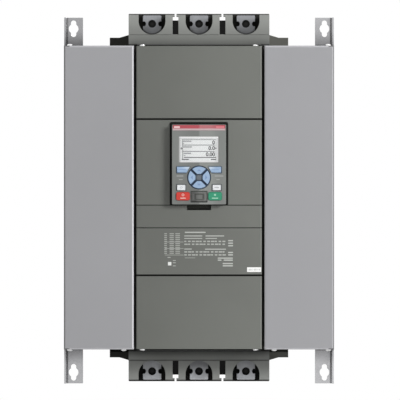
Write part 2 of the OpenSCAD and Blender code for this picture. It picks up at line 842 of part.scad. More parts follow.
// The control board, with its transformer, a chip, relays and capacitors, placed by shares of the board
module control_board() on_body() color("darkgreen") {
    y = y_board - board_t;
    x_at = board_w / 2;
    z_at = board_top;
    y_on = y + board_t / 2;
    block([-board_w / 2, board_w / 2], [y, y_board], [-board_top, board_top]);
    block([-0.83, -0.34] * x_at, [y - tall_part, y_on], [0.42, 0.79] * z_at);
    block([0.43, 0.86] * x_at, [y - flat_part, y_on], [0.5, 0.81] * z_at);
    for (relay = [0 : 2])
        block([-0.86 + 0.29 * relay, -0.66 + 0.29 * relay] * x_at, [y - middle_part, y_on],
            [-0.33, -0.04] * z_at);
    for (can = [0 : 2]) translate([(0.14 + 0.26 * can) * x_at, y_on, 0.08 * z_at])
        rotate([90, 0, 0]) cylinder(r = 0.08 * x_at, h = y_on - y + middle_part);
}

// A row of screw terminals with a wire mouth and a screw well for each wire
module control_terminals() on_body() color("seagreen") {
    y = y_board - board_t;
    pitch = terminals_w / ways;
    z = terminals_z * board_top;
    difference() {
        block([-terminals_w / 2, terminals_w / 2], [y - terminals_d, y], z);
        for (way = [0 : ways - 1]) translate([(way - (ways - 1) / 2) * pitch, y - terminals_d - over, 0]) {
            translate([0, 0, z[1] - 1.3 * pitch]) rotate([-90, 0, 0])
                cylinder(r = pitch / 3, h = pitch + over);
            translate([-pitch / 3, 0, z[0] + 0.8 * pitch]) cube([2 * pitch / 3, 1.5 * pitch + over, pitch]);
        }
    }
}

// A moulded cover between two heights: a shell with rounded upright edges that is open at its back.
// Its ends are shallow lips, except where closed names a full end wall, as [lower, upper]
module front_cover(z, closed = [false, false]) {
    x_in = column_w / 2 - wall_t;
    low = closed[0] ? z[0] + wall_t : z[0] - over;
    high = closed[1] ? z[1] - wall_t : z[1] + over;
    difference() {
        translate([0, 0, z[0]]) linear_extrude(z[1] - z[0]) column_outline();
        translate([0, 0, z[0] + wall_t]) linear_extrude(z[1] - z[0] - 2 * wall_t)
            crowned(x_in, crown_r - wall_t, y_frame + over);
        block([-x_in, x_in], [y_column + lip_d, y_frame + over], [low, high]);
    }
}

// A strip from above, as wide as 2 x, whose front edge is an arc of radius r around the crown's centre
module crowned(x, r, y_back) intersection() {
    translate([-x, y_column]) square([2 * x, y_back - y_column]);
    translate([0, y_column + crown_r]) circle(r = r, $fn = crown_fn);
}

// The column's outline from above: a crowned front with round upright edges
module column_outline() {
    x = column_w / 2;
    r = column_edge_r;
    y_edge = y_column + column_crown;
    crowned(x - r, crown_r, y_frame);
    translate([-x, y_edge + r]) square([2 * x, y_frame - y_edge - r]);
    for (side = [-1, 1]) translate([side * (x - r), y_edge + r]) circle(r = r);
}

module column_screw_holes() both_sides() both_ends() translate([column_screw_x, screw_y, column_top])
    cylinder(r = screw_hole_r, h = screw_hole_l, center = true);

module upper_cover() on_body() color([0.46, 0.47, 0.45]) difference() {
    front_cover([upper_seam_z + wide_seam / 2, column_top], [false, true]);
    column_screw_holes();
}

module lower_cover() on_body() color([0.46, 0.47, 0.45]) difference() {
    front_cover([-column_top, lower_seam_z - wide_seam / 2], [true, false]);
    column_screw_holes();
}

module terminal_cover() on_body() color([0.46, 0.47, 0.45])
    front_cover([lower_seam_z + wide_seam / 2, terminal_seam_z - narrow_seam / 2]);

// The keypad's recess runs out of the control cover's lower edge
module control_cover() on_body() color([0.46, 0.47, 0.45]) {
    z = [keypad_seam_z + narrow_seam / 2, upper_seam_z - wide_seam / 2];
    half = case_w / 2 + recess_gap;
    top = keypad_z + recess_top;
    floor_y = y_column + recess_d;
    difference() {
        union() {
            front_cover(z);
            block([-half - wall_t, half + wall_t], [y_column + wall_t / 2, floor_y + wall_t],
                [z[0], min(top + wall_t, z[1])]);
        }
        slab(y_column - over, floor_y)
            soft_panel([-half, half], [z[0] - recess_d, top], case_r + recess_gap);
    }
}

// The strip below the keypad, with the notch for the keypad's release tab
module option_cover() on_body() color([0.46, 0.47, 0.45]) {
    z = [terminal_seam_z + narrow_seam / 2, keypad_seam_z - narrow_seam / 2];
    notch = [z[1] - tab_notch_h, z[1] + over];
    difference() {
        union() {
            front_cover(z);
            block([-tab_notch_w / 2 - wall_t, tab_notch_w / 2 + wall_t],
                [y_column + wall_t / 2, y_column + recess_d + wall_t], [notch[0] - wall_t, z[1]]);
        }
        block([-tab_notch_w / 2, tab_notch_w / 2], [y_column - over, y_column + recess_d], notch);
    }
}

// Keypad

// The black case that fills the recess, with bosses for the board and a release tab below
module keypad_case() on_keypad() color([0.1, 0.1, 0.1]) {
    half = case_w / 2;
    difference() {
        slab(y_split, y_case) soft_panel([-half, half], [case_bottom, case_top], case_r);
        slab(y_split - over, y_case - case_t)
            soft_panel([-half + case_wall_t, half - case_wall_t],
                [case_bottom + case_wall_t, case_top - case_wall_t], keypad_r);
    }
    for (cx = [-1, 1], z = [case_bottom + case_boss_end, case_top - case_boss_end])
        translate([cx * (pcb_w / 2 - case_boss_side), y_case - case_t + lap, z])
            rotate([90, 0, 0]) cylinder(r = case_boss_r, h = y_case - case_t + lap - y_pcb - pcb_t);
    block([-tab_w / 2, tab_w / 2], [y_split + tab_front, y_case - tab_back],
        [case_bottom - tab_h, case_bottom + over]);
    block([-tab_w / 2 + grip_in, tab_w / 2 - grip_in], [y_split + grip_in / 2, y_split + grip_in],
        [case_bottom - grip_h, case_bottom + over]);
}

// Right-hand soft key, cut slantwise at the side of the arrow keys
module soft_key_outline(grow) {
    low = soft_z[0] - grow;
    high = soft_z[1] + grow;
    length = norm([soft_cut, soft_z[1] - soft_z[0]]);
    across = (soft_z[1] - soft_z[0]) / length;
    along = soft_cut / length;
    function slant_x(z) = soft_x[0] - (grow + along * (z - soft_z[1])) / across;
    right = soft_x[1] + grow;
    polygon([[slant_x(high), high], [right, high], [right, low], [slant_x(low), low]]);
}

// The upper arrow key: a piece of a disc between two slanting gaps, cut straight at the hub
module arrow_key_outline(grow) {
    inset = (arrow_gap / 2 - grow) * sqrt(2);
    low = hub_h - grow;
    high = 2 * arrow_r;
    intersection() {
        circle(r = arrow_r + grow);
        polygon([[inset - low, low], [low - inset, low], [high - inset, high], [inset - high, high]]);
    }
}

module white_key_outline(grow) soft_panel(white_x, white_z, white_r, grow);

module run_key_outline(grow) soft_panel(run_x, run_z, run_r, grow);

module at_nav() translate([0, nav_z]) children();

// Every key opening in the front wall, except those that the ring of arrow keys holds
module key_openings() {
    for (side = [0, 1]) mirror([side, 0, 0]) {
        soft_key_outline(key_gap);
        white_key_outline(key_gap);
        run_key_outline(key_gap);
    }
    at_nav() circle(r = nav_r + nav_gap);
}

module keypad_front() on_keypad() color([0.52, 0.53, 0.51]) {
    half = keypad_w / 2;
    tall = keypad_h / 2;
    difference() {
        slab(y_keypad, y_split) soft_panel([-half, half], [-tall, tall], keypad_r);
        slab(y_front_wall, y_split + over)
            soft_panel([-half + keypad_wall_t, half - keypad_wall_t],
                [-tall + keypad_wall_t, tall - keypad_wall_t], keypad_r - keypad_wall_t / 2);
        slab(y_keypad - over, y_front_wall + over) key_openings();
        slab(y_keypad - over, y_front_wall + over)
            panel([-window_w / 2, window_w / 2], [window_z - window_h / 2, window_z + window_h / 2]);
        slab(y_keypad - over, y_front_wall + over)
            panel([-flap_w / 2 - flap_gap, flap_w / 2 + flap_gap],
                [flap_z[0] - flap_gap, flap_z[1] + flap_gap]);
        translate([0, y_hinge, hinge_z]) rotate([0, 90, 0])
            cylinder(r = pin_r + pin_gap, h = flap_w + 2 * (pin_l + pin_end_gap), center = true);
        block([-half + strip_edge, half - strip_edge], [y_keypad - over, y_keypad + strip_t],
            [tall - strip_h - strip_top, tall - strip_top]);
    }
}

module title_strip() on_keypad() color("crimson")
    block([-keypad_w / 2 + strip_edge + strip_gap, keypad_w / 2 - strip_edge - strip_gap],
        [y_keypad - strip_gap, y_keypad + strip_t],
        [keypad_h / 2 - strip_h - strip_top + strip_gap, keypad_h / 2 - strip_top - strip_gap]);

// The keypad's board, with one switch under each key
module keypad_board() on_keypad() color("darkgreen") {
    block([-pcb_w / 2, pcb_w / 2], [y_pcb, y_pcb + pcb_t], [case_bottom + pcb_end, case_top - pcb_end]);
    for (p = key_stems()) translate([p[0], y_pcb + lap, p[1]]) rotate([90, 0, 0])
        cylinder(r = switch_r, h = switch_h + lap);
}

function key_stems() = concat(
    [for (side = [-1, 1], z = [soft_z, white_z, run_z])
        [side * (z == soft_z ? soft_x[1] + soft_x[0] + soft_cut / 2 : z == white_z ?
            white_x[0] + white_x[1] : run_x[0] + run_x[1]) / 2, (z[0] + z[1]) / 2]],
    [for (turn = [0 : 90 : 270]) [sin(turn), cos(turn)] * (hub_h + arrow_r) / 2 + [0, nav_z]]);

module lcd_module() on_keypad() color("whitesmoke")
    block([-window_w / 2 - lcd_lap, window_w / 2 + lcd_lap], [y_front_wall + lens_t + lcd_gap, y_pcb],
        [window_z - window_h / 2 - lcd_lap, window_z + window_h / 2 + lcd_lap]);

module display_window() on_keypad() color("white", 0.4)
    block([-window_w / 2 - window_lap, window_w / 2 + window_lap], [y_front_wall, y_front_wall + lens_t],
        [window_z - window_h / 2 - window_lap, window_z + window_h / 2 + window_lap]);

// The dark ring that the four arrow keys move in, with a hub in its middle
module nav_ring() on_keypad() color("midnightblue") difference() {
    union() {
        slab(y_keypad + nav_sink, y_front_wall + lap) at_nav() circle(r = nav_r);
        slab(y_front_wall, y_front_wall + nav_lap_t) at_nav() circle(r = nav_r + nav_lap);
        slab(y_keypad - hub_proud, y_front_wall) at_nav() circle(r = hub_h - hub_gap);
    }
    for (turn = [0 : 90 : 270]) slab(y_keypad - over, y_front_wall + nav_lap_t + over)
        at_nav() rotate(turn) arrow_key_outline(key_gap);
}

// A key: its cap stands out of the front, its flange stops behind y_stop, its stem ends over a switch
module key(y_stop, stem) {
    slab(y_keypad - key_proud, y_stop + lap) children(0);
    slab(y_stop, y_stop + flange_t) children(1);
    y_end = y_pcb - switch_h - switch_gap;
    translate([stem[0], y_end, stem[1]]) rotate([90, 0, 0])
        cylinder(r = stem_r, h = y_end - y_stop - flange_t / 2);
}

function stem_at(x, z) = [(x[0] + x[1]) / 2, (z[0] + z[1]) / 2];

module soft_key() on_keypad()
    key(y_front_wall, stem_at([soft_x[0] + soft_cut / 2, soft_x[1]], soft_z)) {
        soft_key_outline(0);
        soft_key_outline(flange_grow);
    }

module white_key() on_keypad() key(y_front_wall, stem_at(white_x, white_z)) {
    white_key_outline(0);
    white_key_outline(flange_grow);
}

module run_key() on_keypad() key(y_front_wall, stem_at(run_x, run_z)) {
    run_key_outline(0);
    run_key_outline(flange_grow);
}

// An arrow key, turned clockwise from the upper one
module arrow_key(turn) color("lightsteelblue") on_keypad()
    key(y_front_wall + nav_lap_t, [sin(turn), cos(turn)] * (hub_h + arrow_r) / 2 + [0, nav_z]) {
        at_nav() rotate(-turn) arrow_key_outline(0);
        at_nav() rotate(-turn) arrow_key_outline(flange_grow);
    }

// The flap over the service socket: a plate with a finger recess, on a barrel with two pins
module usb_flap() on_keypad() color([0.4, 0.41, 0.4]) {
    difference() {
        union() {
            block([-flap_w / 2, flap_w / 2], [y_keypad + flap_sink, y_keypad + flap_sink + flap_t],
                [hinge_z, flap_z[1]]);
            translate([0, y_hinge, hinge_z]) rotate([0, 90, 0])
                cylinder(r = hinge_r, h = flap_w, center = true);
        }
        block([-finger_w / 2, finger_w / 2], [y_keypad - over, y_keypad + finger_d],
            [hinge_z + finger_low, flap_z[1] - finger_top]);
    }
    translate([0, y_hinge, hinge_z]) rotate([0, 90, 0])
        cylinder(r = pin_r, h = flap_w + 2 * pin_l, center = true);
}

// The service socket on the keypad's board
module usb_socket() on_keypad() color("silver") difference() {
    z = (flap_z[0] + flap_z[1]) / 2 + over;
    x_in = socket_w / 2 - socket_t;
    z_in = socket_h / 2 - socket_t;
    block([-socket_w / 2, socket_w / 2], [y_front_wall + socket_gap, y_pcb],
        [z - socket_h / 2, z + socket_h / 2]);
    block([-x_in, x_in], [y_front_wall + socket_gap - over, y_pcb - socket_gap], [z - z_in, z + z_in]);
}

// Nodes

mirror([1, 0, 0]) mounting_rail();  // mounting_rail_left
mounting_rail();  // mounting_rail_right
chassis_tray();
mirror([1, 0, 0]) side_cover();  // side_cover_left
side_cover();  // side_cover_right
cover_screws();
heat_sink();
for (pole = [1 : 3]) {
    thyristor(pole);
    line_bar(pole);
    load_bar(pole);
    bypass_contactor(pole);
    current_transformer(pole);
    fan_frame(pole);
    fan_rotor(pole);
}
bar_bolts();
on_body() terminal_base();  // terminal_base_top
on_body() mirror([0, 0, 1]) terminal_base();  // terminal_base_bottom
on_body() terminal_shroud();  // terminal_shroud_top
on_body() mirror([0, 0, 1]) terminal_shroud();  // terminal_shroud_bottom
control_frame();
control_board();
control_terminals();
upper_cover();
control_cover();
option_cover();
terminal_cover();
lower_cover();
keypad_case();
keypad_front();
keypad_board();
lcd_module();
display_window();
title_strip();
nav_ring();
color("lightsteelblue") mirror([1, 0, 0]) soft_key();  // soft_key_left
color("lightsteelblue") soft_key();  // soft_key_right
arrow_key(0);  // arrow_key_up
arrow_key(90);  // arrow_key_right
arrow_key(180);  // arrow_key_down
arrow_key(270);  // arrow_key_left
color("white") mirror([1, 0, 0]) white_key();  // help_key
color("white") white_key();  // mode_key
color("red") mirror([1, 0, 0]) run_key();  // stop_key
color("seagreen") run_key();  // start_key
usb_flap();
usb_socket();
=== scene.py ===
import bmesh
import bpy
import math
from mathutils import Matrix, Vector


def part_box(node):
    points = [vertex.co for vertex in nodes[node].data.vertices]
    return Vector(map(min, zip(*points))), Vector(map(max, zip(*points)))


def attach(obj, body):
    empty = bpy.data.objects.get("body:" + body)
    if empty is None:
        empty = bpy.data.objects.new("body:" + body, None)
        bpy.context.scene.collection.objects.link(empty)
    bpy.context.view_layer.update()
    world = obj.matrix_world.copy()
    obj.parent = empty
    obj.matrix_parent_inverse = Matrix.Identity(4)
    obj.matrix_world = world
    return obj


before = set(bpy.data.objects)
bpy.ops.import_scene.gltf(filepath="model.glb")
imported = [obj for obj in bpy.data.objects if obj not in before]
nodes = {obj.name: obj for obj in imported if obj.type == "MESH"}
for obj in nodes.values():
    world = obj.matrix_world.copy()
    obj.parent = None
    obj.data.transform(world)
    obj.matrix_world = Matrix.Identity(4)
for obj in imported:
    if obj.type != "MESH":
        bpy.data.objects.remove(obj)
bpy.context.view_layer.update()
scene = bpy.context.scene
mm = 0.001
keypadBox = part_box("keypad_front")
midZ = (keypadBox[0].z + keypadBox[1].z) / 2  # height of the keypad's middle, from which print is placed
faceY = keypadBox[0].y
bodyMid = 4.0  # height of the body's middle above that of the fixing holes, in millimetres
print("frame loaded,", len(nodes), "nodes")


def rgb(red, green, blue):  # a screen colour as linear light
    return tuple((c / 12.92 if c <= 0.04045 else ((c + 0.055) / 1.055) ** 2.4)
                 for c in (red / 255, green / 255, blue / 255)) + (1.0,)


def shade(colour, factor):
    return tuple(min(1.0, c * factor) for c in colour[:3]) + (1.0,)


def grey(level):
    return (level, level, level, 1.0)


black, fullWhite = grey(0.0), grey(1.0)


class Wire:  # one socket; arithmetic on it adds Math nodes
    def __init__(self, bench, socket):
        self.bench, self.socket = bench, socket

    def math(self, operation, *others):
        return self.bench.node("Math", {"operation": operation}, dict(enumerate((self,) + others)))

    def flipped(self, operation, other):
        return self.bench.node("Math", {"operation": operation}, {0: other, 1: self})

    def __add__(self, other):
        return self.math("ADD", other)

    def __radd__(self, other):
        return self.flipped("ADD", other)

    def __sub__(self, other):
        return self.math("SUBTRACT", other)

    def __rsub__(self, other):
        return self.flipped("SUBTRACT", other)

    def __mul__(self, other):
        return self.math("MULTIPLY", other)

    def __rmul__(self, other):
        return self.flipped("MULTIPLY", other)

    def __truediv__(self, other):
        return self.math("DIVIDE", other)

    def __rtruediv__(self, other):
        return self.flipped("DIVIDE", other)

    def __abs__(self):
        return self.math("ABSOLUTE")

    def __lt__(self, other):
        return self.math("LESS_THAN", other)

    def __gt__(self, other):
        return self.math("GREATER_THAN", other)

    def least(self, other):
        return self.math("MINIMUM", other)

    def most(self, other):
        return self.math("MAXIMUM", other)

    def fade(self, start, end):  # 0 at start, 1 at end, eased
        return self.bench.node("MapRange", {"interpolation_type": "SMOOTHSTEP"},
                               {"Value": self, "From Min": start, "From Max": end})


def diagonal(across, up):  # straight distance, from its two sides
    return (across * across + up * up).math("SQRT")


class Bench:  # lays nodes in one tree
    def __init__(self, tree):
        self.tree = tree

    def node(self, kind, settings=None, inputs=None, out=0):
        made = self.tree.nodes.new("ShaderNode" + kind)
        for key, value in (settings or {}).items():
            setattr(made, key, value)
        for key, value in (inputs or {}).items():
            self.feed(made.inputs[key], value)
        return Wire(self, made.outputs[out])

    def feed(self, socket, value):
        if isinstance(value, Wire):
            self.tree.links.new(value.socket, socket)
        else:
            socket.default_value = value

    def mix(self, share, first, second, blend="MIX"):
        return self.node("Mix", {"data_type": "RGBA", "blend_type": blend},
                         {0: share, 6: first, 7: second}, out=2)

    def vary(self, mask, colour, tones):  # one colour that drifts between a darker and a lighter tone
        return self.mix(mask, shade(colour, tones[0]), shade(colour, tones[1]))


class Finish(Bench):  # one material on a Principled shader
    sockets = dict(colour="Base Color", rough="Roughness", metal="Metallic", coat="Coat Weight",
                   coatRough="Coat Roughness", alpha="Alpha", normal="Normal", specular="Specular IOR Level")
    edgeTurn = (0.005, 0.12)  # how far the rounded normal turns along an edge
    creaseSky = (0.95, 0.5)  # how much of the sky is left in an inner corner

    def __init__(self, name):
        self.material = bpy.data.materials.new(name)
        self.material.use_nodes = True
        super().__init__(self.material.node_tree)
        self.skin = self.tree.nodes["Principled BSDF"]
        self.place = self.node("TexCoord", out="Object")

    def axes(self):  # x to the right and z up, in metres
        return [self.node("SeparateXYZ", None, {0: self.place}, out=axis) for axis in "XZ"]

    def fromKeypad(self):  # x and z in millimetres from the keypad's middle
        x, z = self.axes()
        return x / mm, (z - midZ) / mm

    def facing(self):  # -1 where the surface looks to the front, 1 to the back
        return self.node("SeparateXYZ", None, {0: self.node("NewGeometry", out="Normal")}, out="Y")

    def noise(self, size, detail=3.0, stretch=None):  # size is that of one blotch, in metres
        at = self.place
        if stretch:
            at = self.node("VectorMath", {"operation": "MULTIPLY"}, {0: at, 1: stretch})
        return self.node("TexNoise", None, {"Vector": at, "Scale": 1 / size, "Detail": detail}, out="Fac")

    def edges(self, radius):  # rounded normal, and a mask that is 1 along the edges
        soft = self.node("Bevel", {"samples": 6}, {"Radius": radius})
        flat = self.node("NewGeometry", out="Normal")
        along = self.node("VectorMath", {"operation": "DOT_PRODUCT"}, {0: soft, 1: flat}, out="Value")
        return soft, (1 - along).fade(*self.edgeTurn)

    def creases(self, reach):  # 1 in inner corners that are within reach of another face
        sky = self.node("AmbientOcclusion", {"samples": 8}, {"Distance": reach}, out="AO")
        return sky.fade(*self.creaseSky)

    def bump(self, height, depth, normal=None):
        links = {"Height": height, "Distance": depth, "Strength": 1.0}
        if normal is not None:
            links["Normal"] = normal
        return self.node("Bump", None, links)

    def glow(self, level, colour):  # light of its own, from none to the colour itself
        self.skin.inputs["Emission Strength"].default_value = 1.0
        self.feed(self.skin.inputs["Emission Color"], self.mix(level, black, colour))

    def dress(self, **values):
        for key, value in values.items():
            self.feed(self.skin.inputs[self.sockets[key]], value)
        return self.material


plasticGrain = dict(cloud=120 * mm, tones=(0.96, 1.04), wornTone=1.45, roughSpread=0.14)


def mouldedPlastic(name, colour, rough=0.5, grain=0.9 * mm, depth=0.02 * mm, edge=0.5 * mm, wear=0.3,
                   specular=0.5, zones=(), paintedGlow=None):
    f = Finish(name)
    broad = f.noise(plasticGrain["cloud"], detail=2.0).fade(0.35, 0.65)
    fine = f.noise(grain, detail=2.0)
    soft, rim = f.edges(edge)
    tone = f.vary(broad, colour, plasticGrain["tones"])
    x, z = f.fromKeypad()
    for zone in zones:  # zones with a tone of their own: painted shade and painted highlights, and some parts' own colour
        tone = f.mix(zone["mask"](x, z), tone, zone["colour"])
    tone = f.mix(rim * wear, tone, shade(colour, plasticGrain["wornTone"]))
    if paintedGlow:  # painted light: a glow that stands in for light scattering deep into slots and holes
        f.glow(paintedGlow(x, z), fullWhite)
    return f.dress(colour=tone, rough=rough + (fine - 0.5) * plasticGrain["roughSpread"], specular=specular,
                   normal=f.bump(fine, depth, soft))


def powderCoat(name, look):
    f = Finish(name)
    peel = f.noise(look["peel"], detail=2.5)  # orange peel of the sprayed coat
    cloud = f.noise(look["cloud"], detail=2.0).fade(0.3, 0.7)
    soft, rim = f.edges(look["edge"])
    tone = f.vary(cloud, look["colour"], look["tones"])
    facing = abs(f.facing())
    bend = (1 - facing).fade(*look["bendFrom"]) * facing.fade(*look["bendTo"])
    wearAndBendHighlight = rim.most(bend) * look["wear"]  # worn paint on the edges, and a painted highlight along the bends
    tone = f.mix(wearAndBendHighlight, tone, shade(look["colour"], look["wornTone"]))
    turned = facing.fade(*look["turnFrom"]) * facing.fade(*look["turnTo"])
    outer = abs(f.axes()[0]).fade(*look["outerAt"])
    outerBendShade = turned * outer * look["outerShade"]  # painted shade on the outer bends, where they turn away from the light
    tone = f.mix(outerBendShade, tone, shade(look["colour"], look["outerShadeTone"]))
    return f.dress(colour=tone, rough=look["rough"] + (peel - 0.5) * look["roughSpread"], coat=look["coat"],
                   coatRough=look["coatRough"], normal=f.bump(peel, look["depth"], soft))


zincGrain = dict(rolled=7 * mm, edge=0.4 * mm, depth=0.005 * mm, tones=(0.96, 1.04), spangleTone=0.6,
                 rolledTone=0.4, spangleRough=0.06, rolledRough=0.08, wornTone=1.5, paintedShade=0.4, paintedShadeTone=0.22)


def railShade(f, tone, look):  # painted shade: a dark line along the bend, a painted light-to-shade sweep from foot to head, painted shade beside the body and a painted contact shadow next to it
    x, z = f.axes()
    bend = abs(abs(x) - look["bendAt"]).fade(*look["bendEdge"]) * look["bendShade"]
    tone = f.mix(bend, tone, shade(look["colour"], look["bendTone"]))
    # painted light and shade: brightness sweeps from the foot to the head
    rise = f.mix(z.fade(*look["riseAt"]), grey(look["foot"]), grey(look["head"]))
    tone = f.mix(1.0, tone, rise, "MULTIPLY")
    height = abs(z / mm - bodyMid)
    # painted shade beside the body, then a painted contact shadow
    tone = f.mix(height.fade(*look["besideAt"]) * look["beside"], tone, black)
    return f.mix(height.fade(*look["contactShadowAt"]) * look["contactShadow"], tone, black)


def zincSheet(name, look):
    grain = zincGrain
    f = Finish(name)
    cells = f.node("TexVoronoi", {"feature": "F1"},
                   {"Vector": f.place, "Scale": 1 / look["spangle"]}, out="Color")
    spangle = f.node("SeparateXYZ", None, {0: cells})
    rolled = f.noise(grain["rolled"], detail=3.0, stretch=(1.0, 1.0, 0.06))  # rolling lines along the sheet
    soft, rim = f.edges(grain["edge"])
    cloud = spangle * grain["spangleTone"] + rolled * grain["rolledTone"]
    tone = f.vary(cloud, look["colour"], grain["tones"])
    tone = f.mix(rim * look["wear"], tone, shade(look["colour"], grain["wornTone"]))
    paintedShade = f.creases(look["crease"]) * grain["paintedShade"]  # painted shade in the bends and inner corners
    tone = f.mix(paintedShade, tone, shade(look["colour"], grain["paintedShadeTone"]))
    if "bendAt" in look:
        tone = railShade(f, tone, look)
    rough = look["rough"] + spangle * grain["spangleRough"] + (rolled - 0.5) * grain["rolledRough"]
    return f.dress(colour=tone, metal=look["metal"], rough=rough, normal=f.bump(rolled, grain["depth"], soft))


def tinnedBar(name, look):
    f = Finish(name)
    drawn = f.noise(look["drawn"], detail=4.0, stretch=(1.0, 1.0, 0.03))  # drawing lines along the bar
    stain = f.noise(look["stainSize"], detail=4.0).fade(0.45, 0.75)
    soft, rim = f.edges(look["edge"])
    tone = f.vary(drawn, look["colour"], look["tones"])
    tone = f.mix(stain * look["stain"], tone, shade(look["colour"], look["stainTone"]))
    tone = f.mix(rim * look["wear"], tone, shade(look["colour"], look["wornTone"]))
    x, z = f.axes()
    height, aside = abs(z / mm - bodyMid), fromPole(x / mm)
    # painted shade that darkens each bar from its tip towards its root
    tone = f.mix(height.fade(look["tip"], look["root"]), tone, grey(look["rootShade"]), "MULTIPLY")
    across = (aside - look["notchAt"]) / look["notchWide"]
    along = (height - cableHole) / look["notchHigh"]
    notch = (across * across + along * along).fade(*look["notchEdge"])
    tone = f.mix(notch, tone, grey(look["notchTone"]))  # painted shade round the notches
    below = (look["bayAt"] - height).most(0.0)
    deep = diagonal(aside, below).fade(look["bayIn"], look["bayOut"])
    tone = f.mix(deep * look["bayShade"], tone, black)  # shade along the round bottom of the bay
    rough = look["rough"] + stain * look["stainRough"] + (drawn - 0.5) * look["drawnRough"]
    return f.dress(colour=tone, metal=look["metal"], rough=rough, normal=f.bump(drawn, look["depth"], soft))


def extrudedAluminium(name, look):
    f = Finish(name)
    lines = f.noise(look["line"], detail=3.0, stretch=(1.0, 1.0, 0.02))
    soft, rim = f.edges(look["edge"])
    tone = f.vary(lines, look["colour"], look["tones"])
    tone = f.mix(rim * look["wear"], tone, shade(look["colour"], look["wornTone"]))
    rough = look["rough"] + (lines - 0.5) * look["roughSpread"]
    return f.dress(colour=tone, metal=look["metal"], rough=rough, normal=f.bump(lines, look["depth"], soft))


def circuitBoard(name, look):
    f = Finish(name)
    x, z = f.axes()
    grid = {"Vector": f.node("CombineXYZ", None, {0: x, 1: z}), "Scale": look["tracks"],
            "Mortar Size": look["trackWide"], "Color1": black, "Color2": black, "Mortar": fullWhite}
    copper = f.node("SeparateXYZ", None, {0: f.node("TexBrick", {"offset": look["offset"]}, grid)})
    haze = f.noise(look["haze"], detail=3.0)
    tone = f.vary(copper * look["copper"], look["colour"], look["tones"])
    tone = f.mix(haze * look["hazeShare"], tone, shade(look["colour"], look["hazeTone"]))
    return f.dress(colour=tone, rough=look["rough"] + haze * look["hazeRough"], coat=look["coat"],
                   normal=f.bump(copper, look["depth"]))


def paintNodes(material, *names):
    for name in names:
        slots = nodes[name].data.materials
        slots.clear()
        slots.append(material)


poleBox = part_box("line_bar_3")
polePitch = (poleBox[0].x + poleBox[1].x) / 2 / mm
cableHole = 233.3  # height of the cable holes from the body's middle


def fromPole(x):  # distance from the nearest pole's middle
    return abs(x).least(abs(abs(x) - polePitch))


def fromBody(z):  # height from the body's middle, for a height from the keypad's middle
    return abs(z + (midZ / mm - bodyMid))


print("finish makers ready")

# sheet metal
coverLook = dict(colour=rgb(161, 161, 164), peel=1.1 * mm, depth=0.012 * mm, cloud=160 * mm, edge=0.8 * mm,
                 tones=(0.985, 1.015), rough=0.42, roughSpread=0.1, coat=0.15, coatRough=0.25,
                 wear=0.8, wornTone=1.7, bendFrom=(0.004, 0.06), bendTo=(0.1, 0.3),
                 outerShade=0.85, outerShadeTone=0.2, turnFrom=(0.96, 0.84), turnTo=(0.03, 0.2),
                 outerAt=(172 * mm, 174 * mm))
railLook = dict(colour=rgb(184, 184, 186), spangle=5 * mm, metal=0.9, rough=0.2, wear=0.5, crease=4 * mm,
                bendAt=177.6 * mm, bendEdge=(1.1 * mm, 0.4 * mm), bendShade=0.65, bendTone=0.15,
                riseAt=(-200 * mm, 200 * mm), besideAt=(227, 203), contactShadowAt=(207, 206.2))
# painted light: the right rail's sweep is brighter than the left's, as if lit from the right
leftRail = dict(railLook, foot=1.08, head=0.83, beside=0.45, contactShadow=0.15)
rightRail = dict(railLook, foot=1.24, head=1.07, beside=0.34, contactShadow=0.35)
trayLook = dict(colour=rgb(160, 162, 164), spangle=9 * mm, metal=0.6, rough=0.4, wear=0.4, crease=4 * mm)
screwLook = dict(colour=rgb(244, 244, 244), spangle=0.8 * mm, metal=0.95, rough=0.12, wear=0.4, crease=1 * mm)
sinkLook = dict(colour=rgb(186, 188, 190), line=1.6 * mm, depth=0.02 * mm, edge=0.3 * mm, metal=0.9,
                rough=0.4, roughSpread=0.25, tones=(0.8, 1.1), wear=0.3, wornTone=1.3)
paintNodes(powderCoat("coverPaint", coverLook), "side_cover_left", "side_cover_right")
paintNodes(zincSheet("railZincLeft", leftRail), "mounting_rail_left")
paintNodes(zincSheet("railZincRight", rightRail), "mounting_rail_right")
paintNodes(zincSheet("trayZinc", trayLook), "chassis_tray")
paintNodes(zincSheet("screwZinc", screwLook), "cover_screws", "bar_bolts")
paintNodes(extrudedAluminium("sinkAluminium", sinkLook), "heat_sink")

# mouldings
columnLook = dict(colour=rgb(108, 110, 105), rough=0.45, grain=1.0 * mm, depth=0.02 * mm, edge=0.6 * mm,
                  wear=0.1)
shroudLook = dict(colour=rgb(158, 160, 156), rough=0.55, grain=0.8 * mm, depth=0.03 * mm, edge=0.35 * mm,
                  wear=0.12)
baseLook = dict(colour=rgb(105, 105, 100), rough=0.55, grain=0.8 * mm, depth=0.03 * mm, edge=0.6 * mm,
                wear=0.1, specular=0.03)
columnCovers = ["upper_cover", "control_cover", "option_cover", "terminal_cover", "lower_cover"]
seamLook = dict(colour=rgb(26, 27, 25), paintedShade=0.85, edge=(0.85, 0.65))  # its edge is in widths of the seam


def seamShade(x, z):  # painted shade along both sides of the seams between the column's covers
    paintedShade = 0.0
    for above, below in zip(columnCovers, columnCovers[1:]):
        high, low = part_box(above)[0].z / mm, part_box(below)[1].z / mm
        off = abs(z + midZ / mm - (high + low) / 2) / (high - low)
        paintedShade = off.fade(*seamLook["edge"]) + paintedShade
    return paintedShade * seamLook["paintedShade"]


seamZone = dict(mask=seamShade, colour=seamLook["colour"])
paintNodes(mouldedPlastic("columnGrey", **columnLook, zones=[seamZone]), *columnCovers)

